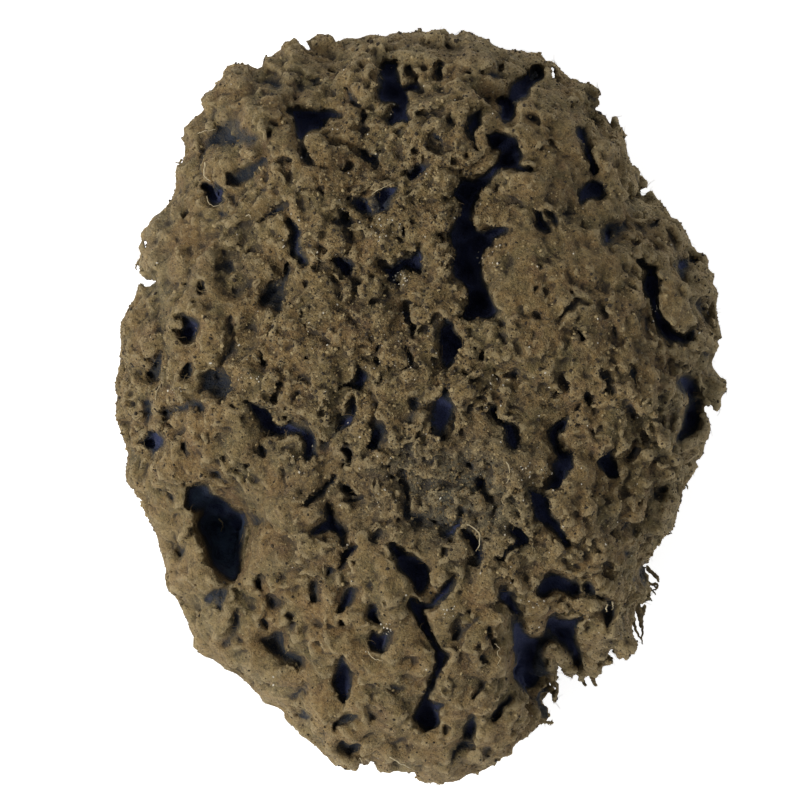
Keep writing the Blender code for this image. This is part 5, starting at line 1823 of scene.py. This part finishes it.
class FinishTree(NodeBench):
    """A material's nodes."""

    def __init__(self, name: str) -> None:
        """Starts a material.

        Args:
            name: The material's name.
        """
        self.material = bpy.data.materials.new(name)
        self.material.use_nodes = True
        super().__init__(self.material.node_tree)
        self.tree.nodes.clear()
        self.place = self.node("ShaderNodeTexCoord").outputs["Object"]

    def noise(self, size: float, detail: float = 3.0, rough: float = 0.55, bend: float = 0.0) -> Value:
        """Adds soft random patches.

        Args:
            size: How wide a patch is, in mm.
            detail: How many finer layers it has.
            rough: How strong the finer layers are.
            bend: How crooked the patches are.

        Returns:
            Values round 0.5.
        """
        made = self.node("ShaderNodeTexNoise", None, Vector=self.place, Scale=1.0 / (size * MM),
                         Detail=detail, Roughness=rough, Distortion=bend)
        return Value(self.tree, made.outputs[0])

    def cells(self, size: float, feature: str = "F1") -> Value:
        """Adds scattered points.

        Args:
            size: How far apart they are, in mm.
            feature: Which distance is given.

        Returns:
            The distance to the nearest point.
        """
        made = self.node("ShaderNodeTexVoronoi", {"feature": feature}, Vector=self.place,
                         Scale=1.0 / (size * MM))
        return Value(self.tree, made.outputs["Distance"])

    def stored(self, name: str) -> Value:
        """Reads a number that is stored on the mesh."""
        return Value(self.tree, self.node("ShaderNodeAttribute", {"attribute_name": name}).outputs["Fac"])

    def blend(self, share: Number, first: Any, second: Any, way: str = "MIX") -> bpy.types.NodeSocket:
        """Mixes two colours.

        Args:
            share: How much of the second there is.
            first: The first colour.
            second: The second colour.
            way: How they are mixed.

        Returns:
            The mixed colour's socket.
        """
        settings = {"data_type": "RGBA", "blend_type": way, "clamp_factor": True}
        made = self.node("ShaderNodeMix", settings, Factor=share, A=first, B=second)
        return self.socket(made.outputs, "Result")

    def finish(self, colour: Any, rough: Any, height: Value | None = None, relief: float = 0.2,
               constants: dict[str, Any] | None = None) -> bpy.types.Material:
        """Adds the shader and closes the tree.

        Args:
            colour: The base colour.
            rough: The roughness.
            height: The fine relief, or none.
            relief: How tall a height of 1 is, in mm.
            constants: Numbers that are the same all over, by socket name.

        Returns:
            The material.
        """
        shader = self.node("ShaderNodeBsdfPrincipled", None, Base_Color=colour, Roughness=rough)
        for key, value in (constants or {}).items():
            self.feed(shader.inputs[key], value)
        if height is not None:
            bump = self.node("ShaderNodeBump", None, Strength=1.0, Distance=relief * MM, Height=height)
            self.feed(shader.inputs["Normal"], bump.outputs["Normal"])
        self.node("ShaderNodeOutputMaterial", None, Surface=shader.outputs["BSDF"])
        return self.material


@dataclass(frozen=True)
class SpongeSkin:
    """The dry sponge's finish: its own mottled brown and olive, with painted light on its ridges and, partly,
    on its pale edges, and painted shade in its creases and holes.
    """

    brown: Colour = (0.200, 0.119, 0.042)
    olive: Colour = (0.140, 0.106, 0.040)
    pink: Colour = (0.205, 0.118, 0.056)
    straw: Colour = (0.325, 0.226, 0.094)
    umber: Colour = (0.038, 0.028, 0.019)
    moss: Colour = (0.098, 0.094, 0.070)
    rim: Colour = (0.435, 0.345, 0.190)
    # the next four colours are painted light and shade: a pale rim partly lit through thin edges, then the
    # shade in hollows, from slate and dark brown to the navy of the deepest shadow
    lobe: Colour = (0.420, 0.335, 0.180)
    slate: Colour = (0.015, 0.020, 0.030)
    shaded_brown: Colour = (0.058, 0.051, 0.038)
    night: Colour = (0.034, 0.044, 0.115)
    # slate blue of the painted navy shade on the great hollow's floor
    navy_floor_shade: Colour = (0.085, 0.135, 0.225)
    rough: float = 0.92

    def material(self) -> bpy.types.Material:
        """Builds the finish.

        Returns:
            The material.
        """
        tree = FinishTree("sponge_skin")
        fine, middle, wide = (tree.stored(name) for name in ("full_fine", "full_mid", "full_wide"))
        sunk = tree.stored("sunk")
        crumb = tree.stored("crumb")
        cool = tree.stored("cool")
        patches = tree.noise(9.0, 4.0, 0.6, 0.4).between(0.38, 0.62)
        colour = tree.blend(patches, self.brown, self.olive)
        colour = tree.blend(tree.noise(5.0, 3.0, 0.6, 0.5).between(0.52, 0.72) * 0.8, colour, self.pink)
        straw = tree.noise(2.6, 4.0, 0.65, 0.6).between(0.48, 0.72)
        colour = tree.blend(straw * 0.66, colour, self.straw)
        colour = tree.blend(cool * (0.5 + 0.4 * patches), colour, self.moss)
        broad = tree.noise(16.0, 3.0, 0.6, 0.3)
        colour = tree.blend(broad.between(0.52, 0.68) * 0.35, colour, self.umber)
        colour = tree.blend((1.0 - broad).between(0.52, 0.68) * 0.25, colour, self.straw)
        # painted light on convex places and painted shade in concave ones, by the share of flesh round them
        colour = tree.blend((1.0 - middle).between(0.50, 0.66) * 0.35, colour, self.straw)
        colour = tree.blend(middle.between(0.53, 0.64) * 0.4, colour, self.umber)
        dirt = tree.noise(2.0, 5.0, 0.72, 0.5).between(0.52, 0.66) * (0.15 + 0.6 * crumb)
        colour = tree.blend(dirt, colour, self.umber)
        # pale rim: partly paler flesh, partly painted light on the thin, lit edges
        pale = tree.stored("pale")
        colour = tree.blend(pale * (0.35 + 0.35 * straw), colour, self.lobe)
        relief = tree.noise(1.2, 5.0, 0.75, 0.2)
        speck = tree.noise(0.42, 2.0, 0.7)
        grain = tree.noise(0.55, 2.0, 0.75)
        # painted shade in the dips of the fine relief and painted light on its tops, from the same noise as
        # the bump
        colour = tree.blend((1.0 - relief).between(0.51, 0.62) * (0.42 + 0.35 * crumb), colour, self.umber)
        colour = tree.blend(relief.between(0.52, 0.66) * 0.62, colour, self.straw)
        colour = tree.blend(speck.between(0.55, 0.68) * 0.72, colour, self.umber)
        colour = tree.blend(grain.between(0.57, 0.70) * (0.42 + 0.3 * crumb), colour, self.rim)
        # small dimples in the bump, with painted shade in them
        dots = tree.cells(1.7)
        dots = (1.0 - dots.between(0.08, 0.18)) * tree.noise(5.0, 3.0).between(0.56, 0.68)
        colour = tree.blend(dots * 0.45, colour, self.umber)
        # painted highlight on fine ridges and painted shade in fine creases
        ridge = (1.0 - fine).between(0.56, 0.76)
        colour = tree.blend(ridge * 0.5, colour, self.rim)
        crease = fine.between(0.55, 0.70)
        colour = tree.blend(crease * 0.75, colour, self.umber)
        mottle = tree.noise(1.6, 4.0, 0.75, 0.4)
        # painted shade in hollows, from the traced outlines and from how enclosed and sunk a place is, with
        # painted navy shadow in the deepest
        painted_hollow_shade = tree.blend(mottle.between(0.44, 0.62), self.slate, self.shaded_brown)
        traced = tree.stored("painted_hollow_shade")
        shade = middle.between(0.53, 0.68) * sunk.between(0.08, 0.30) * 0.5 + traced.between(0.10, 0.85)
        colour = tree.blend(shade * 0.88, colour, painted_hollow_shade)
        deep = traced.between(0.65, 1.0) * sunk.between(0.26, 0.50)
        colour = tree.blend(deep, colour, tree.blend(mottle.between(0.48, 0.66) * 0.7, self.slate, self.shaded_brown))
        colour = tree.blend(deep * wide.between(0.58, 0.70) * 0.95, colour, self.night)
        # painted navy shade on the great hollow's floor, mottled by noise
        navy_floor_shade = tree.stored("navy_floor_shade") * tree.noise(3.2, 4.0, 0.6, 0.5).between(0.30, 0.60)
        colour = tree.blend(navy_floor_shade, colour, self.navy_floor_shade)
        height = 1.6 * relief + 0.9 * speck - 0.5 * grain - 0.6 * dots
        return tree.finish(colour, self.rough, height, 0.6,
                           {"Specular IOR Level": 0.18, "Sheen Weight": 0.04, "Sheen Roughness": 0.6})


@dataclass(frozen=True)
class CrumbFinish:
    """The finish of loose crumbs: the skin's browns, each crumb lighter or darker than its neighbours, with
    painted shade on those that lie deep in hollows.
    """

    dark: Colour = (0.030, 0.022, 0.014)
    brown: Colour = (0.150, 0.100, 0.042)
    straw: Colour = (0.340, 0.260, 0.130)
    # slate: colour of the painted shade on sunk crumbs
    slate: Colour = (0.020, 0.026, 0.032)
    rough: float = 0.85

    def material(self) -> bpy.types.Material:
        """Builds the finish.

        Returns:
            The material.
        """
        tree = FinishTree("loose_crumb")
        tint = tree.stored("tint")
        colour = tree.blend(tint.between(0.20, 0.55), self.dark, self.brown)
        colour = tree.blend(tint.between(0.62, 0.98), colour, self.straw)
        fine = tree.noise(0.3, 2.0, 0.7)
        colour = tree.blend(fine.between(0.5, 0.7) * 0.4, colour, self.dark)
        # painted shade on crumbs that lie deep in hollows
        colour = tree.blend(tree.stored("sunk").between(0.15, 0.5), colour, self.slate)
        return tree.finish(colour, self.rough, fine, 0.1, {"Specular IOR Level": 0.3})


@dataclass(frozen=True)
class PlainGrain:
    """A dry speckled finish for fibres and grit.

    Attributes:
        name: The finish's name.
        light: The lighter colour.
        dark: The darker colour.
        patch: How wide its patches are, in mm.
        rough: How rough it is.
        gloss: How strongly it shines.
    """

    name: str
    light: Colour
    dark: Colour
    patch: float
    rough: float = 0.9
    gloss: float = 0.25

    def material(self) -> bpy.types.Material:
        """Builds the finish.

        Returns:
            The material.
        """
        tree = FinishTree(self.name)
        share = tree.noise(self.patch, 3.0, 0.7, 0.3).between(0.36, 0.64)
        colour = tree.blend(share, self.dark, self.light)
        fine = tree.noise(0.35, 2.0, 0.7)
        colour = tree.blend(fine.between(0.52, 0.7) * 0.4, colour, self.dark)
        return tree.finish(colour, self.rough, fine, 0.08, {"Specular IOR Level": self.gloss})


class ShapeTree(NodeBench):
    """A Geometry Nodes tree with named inputs, which grows a piece on a mesh."""

    def __init__(self, name: str, inputs: dict[str, Any]) -> None:
        """Starts a tree.

        Args:
            name: The piece's name.
            inputs: The value of each named input: a number, a whole number or a material.
        """
        super().__init__(bpy.data.node_groups.new(name, "GeometryNodeTree"))
        face = self.tree.interface
        face.new_socket("Geometry", in_out="OUTPUT", socket_type="NodeSocketGeometry")
        face.new_socket("Geometry", in_out="INPUT", socket_type="NodeSocketGeometry")
        kinds = {int: "NodeSocketInt", float: "NodeSocketFloat", bpy.types.Material: "NodeSocketMaterial"}
        self.name = name
        self.inputs = inputs
        self.keys = {}
        for label, value in inputs.items():
            made = face.new_socket(label, in_out="INPUT", socket_type=kinds[type(value)])
            self.keys[label] = made.identifier
        self.given = self.tree.nodes.new("NodeGroupInput").outputs

    def random(self, low: Any, high: Any, seed: int) -> bpy.types.NodeSocket:
        """Adds a random number or vector for each point.

        Args:
            low: The least.
            high: The most.
            seed: Which random row is used.

        Returns:
            The value's socket.
        """
        kind = {int: "INT", tuple: "FLOAT_VECTOR"}.get(type(low), "FLOAT")
        made = self.node("FunctionNodeRandomValue", {"data_type": kind}, Min=low, Max=high, Seed=seed)
        return self.socket(made.outputs, "Value")

    def stored(self, name: str) -> Value:
        """Reads a number that is stored on the mesh."""
        made = self.node("GeometryNodeInputNamedAttribute", {"data_type": "FLOAT"}, Name=name)
        return Value(self.tree, self.socket(made.outputs, "Attribute"))

    def value(self, label: str) -> Value:
        """Reads one of the tree's own inputs."""
        return Value(self.tree, self.given[label])

    def scatter(self, odds: str) -> bpy.types.Node:
        """Spreads points over the mesh, as the named odds say, each with a tint of its own.

        Args:
            odds: The stored number that says how thick they lie.

        Returns:
            The node that spreads them.
        """
        return self.node("GeometryNodeDistributePointsOnFaces", {"distribute_method": "RANDOM"},
                         Mesh=self.given["Geometry"], Density=self.stored(odds) * self.value("Density"),
                         Seed=self.given["Seed"])

    def tinted(self, points: bpy.types.NodeSocket) -> bpy.types.NodeSocket:
        """Stores a random tint on each point.

        Args:
            points: The points' socket.

        Returns:
            The socket of the points with their tints.
        """
        made = self.node("GeometryNodeStoreNamedAttribute", {"data_type": "FLOAT", "domain": "POINT"},
                         Geometry=points, Name="tint", Value=self.random(0.0, 1.0, 3))
        return made.outputs["Geometry"]

    def grow(self, source: bpy.types.Mesh, result: bpy.types.NodeSocket) -> bpy.types.Object:
        """Runs the tree on a mesh and keeps what it makes as a plain mesh.

        Args:
            source: The mesh that it grows on, which stays as it is.
            result: The socket of what it makes.

        Returns:
            The finished piece.
        """
        whole = self.node("GeometryNodeRealizeInstances", None, Geometry=result)
        dressed = self.node("GeometryNodeSetMaterial", None, Geometry=whole.outputs["Geometry"],
                            Material=self.given["Finish"])
        self.node("NodeGroupOutput", None, Geometry=dressed.outputs["Geometry"])
        piece = bpy.data.objects.new(self.name, source.copy())
        bpy.context.scene.collection.objects.link(piece)
        modifier = piece.modifiers.new("grow", "NODES")
        modifier.node_group = self.tree
        for label, value in self.inputs.items():
            modifier[self.keys[label]] = value
        return baked(piece)


@dataclass
class Crumbs:
    """Loose crumbs of the sponge's own flesh, thickest where its skin is most broken.

    Attributes:
        name: The piece's name.
        density: How many lie on a square metre at odds of 1.
        small: The smallest one's radius, in mm.
        large: The largest one's radius, in mm.
        plain: Whether they have 8 faces and not 20.
        seed: Which random layout they have.
    """

    name: str
    density: float
    small: float
    large: float
    plain: bool
    seed: int

    def build(self, body: bpy.types.Object, finish: bpy.types.Material) -> bpy.types.Object:
        """Grows the crumbs.

        Args:
            body: The body that they lie on.
            finish: Their finish.

        Returns:
            The crumbs.
        """
        tree = ShapeTree(self.name, {"Density": self.density, "Smallest": self.small * MM,
                                     "Largest": self.large * MM, "Seed": self.seed, "Finish": finish})
        points = tree.tinted(tree.scatter("crumb_odds").outputs["Points"])
        if self.plain:
            bit = tree.node("GeometryNodeMeshUVSphere", None, Segments=4, Rings=2, Radius=1.0)
        else:
            bit = tree.node("GeometryNodeMeshIcoSphere", None, Subdivisions=1, Radius=1.0)
        size = tree.random(tree.given["Smallest"], tree.given["Largest"], 5)
        stretch = tree.random((0.55, 0.55, 0.45), (1.3, 1.3, 1.0), 6)
        scale = tree.node("ShaderNodeVectorMath", {"operation": "SCALE"}, Vector=stretch, Scale=size)
        turn = tree.random((0.0, 0.0, 0.0), (math.tau, math.tau, math.tau), 7)
        placed = tree.node("GeometryNodeInstanceOnPoints", None, Points=points, Instance=bit.outputs["Mesh"],
                           Rotation=turn, Scale=scale.outputs["Vector"])
        return tree.grow(body.data, placed.outputs["Instances"])


@dataclass
class Fleece:
    """The fine horny fibres that stand and lie on the skin.

    Attributes:
        name: The piece's name.
        density: How many grow on a square metre at odds of 1.
        short: The shortest one's length, in mm.
        long: The longest one's length, in mm.
        slim: A fibre's radius as a share of its length.
        seed: Which random layout they have.
        bends: How a fibre runs, as its foot, its middle and its tip, in shares of its length.
    """

    name: str = "fleece"
    density: float = 3.38e5
    short: float = 0.8
    long: float = 2.7
    slim: float = 0.024
    seed: int = 11
    bends: tuple[tuple[tuple[float, float, float], ...], ...] = (
        ((0.0, 0.0, -0.08), (0.40, 0.22, 0.20), (1.0, 0.05, 0.04)),
        ((0.0, 0.0, -0.08), (0.55, -0.30, 0.14), (0.95, 0.25, 0.10)),
        ((0.0, 0.0, -0.08), (0.30, 0.10, 0.38), (0.80, -0.20, 0.34)),
        ((0.0, 0.0, -0.08), (0.62, 0.42, 0.10), (0.50, 0.85, 0.02)),
    )

    def build(self, body: bpy.types.Object, finish: bpy.types.Material) -> bpy.types.Object:
        """Grows the fibres.

        Args:
            body: The body that they grow on.
            finish: Their finish.

        Returns:
            The fibres.
        """
        tree = ShapeTree(self.name, {"Density": self.density, "Shortest": self.short * MM,
                                     "Longest": self.long * MM, "Slimness": self.slim, "Seed": self.seed,
                                     "Finish": finish})
        spread = tree.scatter("fleece_odds")
        gathered = tree.node("GeometryNodeJoinGeometry")
        for foot, middle, tip in self.bends:
            line = tree.node("GeometryNodeCurveQuadraticBezier", None, Resolution=4, Start=foot,
                             Middle=middle, End=tip)
            hair = tree.node("GeometryNodeGeometryToInstance", None, Geometry=tube(
                tree, line.outputs["Curve"], tree.value("Slimness"), 3))
            tree.feed(gathered.inputs[0], hair.outputs["Instances"])
        spin = tree.random((-0.3, -0.45, 0.0), (0.3, 0.2, math.tau), 8)
        turn = tree.node("FunctionNodeRotateRotation", {"rotation_space": "LOCAL"},
                         Rotation=spread.outputs["Rotation"], Rotate_By=spin)
        placed = tree.node("GeometryNodeInstanceOnPoints", None, Points=tree.tinted(spread.outputs["Points"]),
                           Instance=gathered.outputs["Geometry"], Pick_Instance=True,
                           Instance_Index=tree.random(0, len(self.bends) - 1, 9),
                           Rotation=turn.outputs["Rotation"],
                           Scale=tree.random(tree.given["Shortest"], tree.given["Longest"], 10))
        return tree.grow(body.data, placed.outputs["Instances"])


def tube(tree: ShapeTree, curve: bpy.types.NodeSocket, radius: Number, sides: int) -> bpy.types.NodeSocket:
    """Adds the nodes that turn a curve into a thin closed tube, which tapers to its tip.

    Args:
        tree: The tree.
        curve: The curve's socket.
        radius: Its radius at the foot.
        sides: How many sides it has.

    Returns:
        The tube's socket.
    """
    along = Value(tree.tree, tree.node("GeometryNodeSplineParameter").outputs["Factor"])
    ring = tree.node("GeometryNodeCurvePrimitiveCircle", None, Resolution=sides, Radius=1.0)
    made = tree.node("GeometryNodeCurveToMesh", None, Curve=curve, Profile_Curve=ring.outputs["Curve"],
                     Scale=(1.0 - 0.6 * along) * radius, Fill_Caps=True)
    return made.outputs["Mesh"]


@dataclass
class Threads:
    """The threads, frays and thin bright rims that the photograph shows one by one; the bright rims are
    painted highlights, laid as pale strips along lips.

    Attributes:
        name: The piece's name.
        threads: The threads.
        lift: How far over the skin a thread lies, in mm.
        seed: Not used: it is given to the tree as an input that no node reads.
    """

    name: str
    threads: tuple[Thread, ...]
    lift: float = 0.12
    seed: int = 5

    def build(self, body: SpongeBody, finish: bpy.types.Material) -> bpy.types.Object:
        """Lays the threads over the skin.

        Args:
            body: The sponge's body.
            finish: Their finish.

        Returns:
            The threads.
        """
        points: list[tuple[float, float, float]] = []
        edges: list[tuple[int, int]] = []
        halves: list[float] = []
        for thread in self.threads:
            start = len(points)
            places = [PHOTO.place(u, v) for u, v in thread.path]
            heights = [body.lip_height(x, y) + self.lift if thread.level is None else thread.level
                       for x, y in places]
            points += [(x * MM, y * MM, z * MM) for (x, y), z in zip(places, heights)]
            edges += [(n, n + 1) for n in range(start, len(points) - 1)]
            halves += [PHOTO.length(thread.half) * MM] * len(places)
        source = bpy.data.meshes.new(self.name)
        source.from_pydata(points, edges, [])
        set_attribute(source, "half", np.array(halves))
        tree = ShapeTree(self.name, {"Seed": self.seed, "Finish": finish})
        curve = tree.node("GeometryNodeMeshToCurve", None, Mesh=tree.given["Geometry"])
        bent = tree.node("GeometryNodeCurveSplineType", {"spline_type": "CATMULL_ROM"},
                         Curve=curve.outputs["Curve"])
        fine = tree.node("GeometryNodeResampleCurve", None, Curve=bent.outputs["Curve"], Count=14)
        shake = tree.node("GeometryNodeSetPosition", None, Geometry=fine.outputs["Curve"],
                          Offset=tree.random((-1.2e-4, -1.2e-4, -6e-5), (1.2e-4, 1.2e-4, 1.2e-4), 2))
        return tree.grow(source, tube(tree, shake.outputs["Geometry"], tree.stored("half"), 5))


@dataclass
class Grit:
    """Pale sand grains and shell crumbs that are caught in the skin.

    Attributes:
        name: The piece's name.
        small: The smallest grain's radius, in mm.
        large: The largest grain's radius, in mm.
        loose: How many more lie about the broken skin.
        seed: Which random layout they have.
    """

    name: str = "grit"
    small: float = 0.10
    large: float = 0.27
    loose: int = 260
    seed: int = 17

    def build(self, body: SpongeBody, finish: bpy.types.Material) -> bpy.types.Object:
        """Lays the grains in the skin.

        Args:
            body: The sponge's body.
            finish: Their finish.

        Returns:
            The grains.
        """
        rng = np.random.default_rng(self.seed)
        spots = list(GRAINS)
        for (u, v), (reach_u, reach_v), count in GRAIN_BEDS:
            turn = rng.uniform(0.0, math.tau, count)
            away = np.sqrt(rng.random(count))
            spots += zip(u + reach_u * away * np.cos(turn), v + reach_v * away * np.sin(turn))
        places = [PHOTO.place(u, v) for u, v in spots]
        places += [tuple(body.broken_place(rng)) for _ in range(self.loose)]
        points = [(x * MM, y * MM, (body.lip_height(x, y, 0) + 0.04) * MM) for x, y in places]
        source = bpy.data.meshes.new(self.name)
        source.from_pydata(points, [], [])
        tree = ShapeTree(self.name, {"Smallest": self.small * MM, "Largest": self.large * MM,
                                     "Seed": self.seed, "Finish": finish})
        bit = tree.node("GeometryNodeMeshIcoSphere", None, Subdivisions=1, Radius=1.0)
        size = tree.random(tree.given["Smallest"], tree.given["Largest"], 5)
        stretch = tree.random((0.6, 0.6, 0.4), (1.5, 1.0, 0.8), 6)
        scale = tree.node("ShaderNodeVectorMath", {"operation": "SCALE"}, Vector=stretch, Scale=size)
        turn = tree.random((-0.6, -0.6, 0.0), (0.6, 0.6, math.tau), 7)
        placed = tree.node("GeometryNodeInstanceOnPoints", None, Points=tree.given["Geometry"],
                           Instance=bit.outputs["Mesh"], Rotation=turn, Scale=scale.outputs["Vector"])
        return tree.grow(source, placed.outputs["Instances"])


@dataclass(frozen=True)
class Studio:
    """The pale floor, the soft light and the camera straight above.

    Attributes:
        lens: The camera's focal length, in mm.
        sensor: The camera's sensor width, in mm.
        focus_z: The height at which the frame is as wide as the photograph, in mm.
        floor_side: How wide the floor is, in metres.
        floor_glow: How much light of its own the floor adds, so that it looks white.
        key_power: The lamp's power, in watts.
        key_side: How wide the lamp is, in metres.
        key_place: Where the lamp hangs, in metres.
        key_tint: The lamp's colour.
        sky: The even light's colour.
        sky_strength: How strong the even light is.
    """

    lens: float = 1000.0
    sensor: float = 36.0
    focus_z: float = 22.0
    floor_side: float = 6.0
    floor_glow: float = 0.75
    key_power: float = 24.7
    key_side: float = 0.7
    key_place: tuple[float, float, float] = (-1.08, -0.36, 1.25)
    key_tint: Colour = (1.0, 0.975, 0.93)
    sky: Colour = (0.93, 0.96, 1.0)
    sky_strength: float = 0.45

    def build(self) -> None:
        """Makes the floor, the lights, the sky and the camera."""
        self._floor()
        self._key()
        self._sky()
        self._camera()
        bpy.context.scene.view_settings.view_transform = "Standard"

    def _floor(self) -> None:
        """Lays the pale floor."""
        half = self.floor_side / 2
        corners = ((-half, -half, 0), (half, -half, 0), (half, half, 0), (-half, half, 0))
        floor = plain_mesh("floor", np.array(corners, np.float32), np.array([(0, 1, 2), (0, 2, 3)]))
        tree = FinishTree("pale_floor")
        pale = tree.blend(tree.noise(60.0, 2.0).between(0.3, 0.7), (0.93, 0.93, 0.93), (0.95, 0.95, 0.95))
        floor.data.materials.append(tree.finish(pale, 0.95, constants={
            "Specular IOR Level": 0.1, "Emission Color": (1.0, 1.0, 1.0),
            "Emission Strength": self.floor_glow}))

    def _key(self) -> None:
        """Hangs the large soft light at the upper left."""
        data = bpy.data.lights.new("key", "AREA")
        data.shape = "SQUARE"
        data.size = self.key_side
        data.energy = self.key_power
        data.color = self.key_tint
        lamp = bpy.data.objects.new("key", data)
        lamp.location = self.key_place
        lamp.rotation_euler = (-Vector(self.key_place)).to_track_quat("-Z", "Y").to_euler()
        bpy.context.scene.collection.objects.link(lamp)

    def _sky(self) -> None:
        """Sets an even, slightly cool light all round."""
        world = bpy.data.worlds.new("soft_sky")
        world.use_nodes = True
        back = world.node_tree.nodes["Background"]
        back.inputs["Color"].default_value = (*self.sky, 1.0)
        back.inputs["Strength"].default_value = self.sky_strength
        bpy.context.scene.world = world

    def _camera(self) -> None:
        """Puts the camera straight above the sponge, with the photograph's frame."""
        data = bpy.data.cameras.new("camera")
        data.lens = self.lens
        data.sensor_width = self.sensor
        data.clip_start = 0.1
        data.clip_end = 100.0
        x, y = PHOTO.place(PHOTO.middle_u, PHOTO.middle_v)
        width = PHOTO.length(PHOTO.pixels) * MM
        camera = bpy.data.objects.new("camera", data)
        camera.location = (x * MM, y * MM, self.focus_z * MM + width * self.lens / self.sensor)
        bpy.context.scene.collection.objects.link(camera)
        bpy.context.scene.camera = camera


def own(piece: bpy.types.Object) -> None:
    """Ties a piece to the sponge's body and logs how many triangles it has.

    Args:
        piece: The piece.
    """
    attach(piece, BODY)
    log.info("%s: %d triangles", piece.name, sum(len(face.vertices) - 2 for face in piece.data.polygons))


def main() -> None:
    """Builds every piece in order."""
    logging.basicConfig(level=logging.INFO, format="%(relativeCreated)6d ms  %(message)s", stream=sys.stdout)
    sponge = SpongeBody()
    body = sponge.build()
    body.data.materials.append(SpongeSkin().material())
    own(body)
    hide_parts(NODE)
    crumb = CrumbFinish().material()
    coarse = Crumbs("crumbs", density=5.0e5, small=0.20, large=0.46, plain=False, seed=3)
    fine = Crumbs("fine_crumbs", density=1.55e6, small=0.10, large=0.26, plain=True, seed=4)
    own(coarse.build(body, crumb))
    own(fine.build(body, crumb))
    straw = PlainGrain("straw_fibre", light=(0.30, 0.22, 0.11), dark=(0.16, 0.11, 0.05), patch=3.0)
    own(Fleece().build(body, straw.material()))
    pale = PlainGrain("pale_fibre", light=(0.52, 0.44, 0.28), dark=(0.34, 0.27, 0.15), patch=1.2,
                      rough=0.7, gloss=0.35)
    own(Threads("threads", THREADS).build(sponge, pale.material()))
    torn = PlainGrain("torn_fibre", light=(0.24, 0.18, 0.09), dark=(0.080, 0.062, 0.038), patch=0.8)
    own(Threads("frays", FRAYS).build(sponge, torn.material()))
    sand = PlainGrain("sand_grit", light=(0.66, 0.62, 0.52), dark=(0.42, 0.36, 0.26), patch=0.8,
                      rough=0.5, gloss=0.5)
    own(Grit().build(sponge, sand.material()))
    Studio().build()


if __name__ == "__main__":
    main()
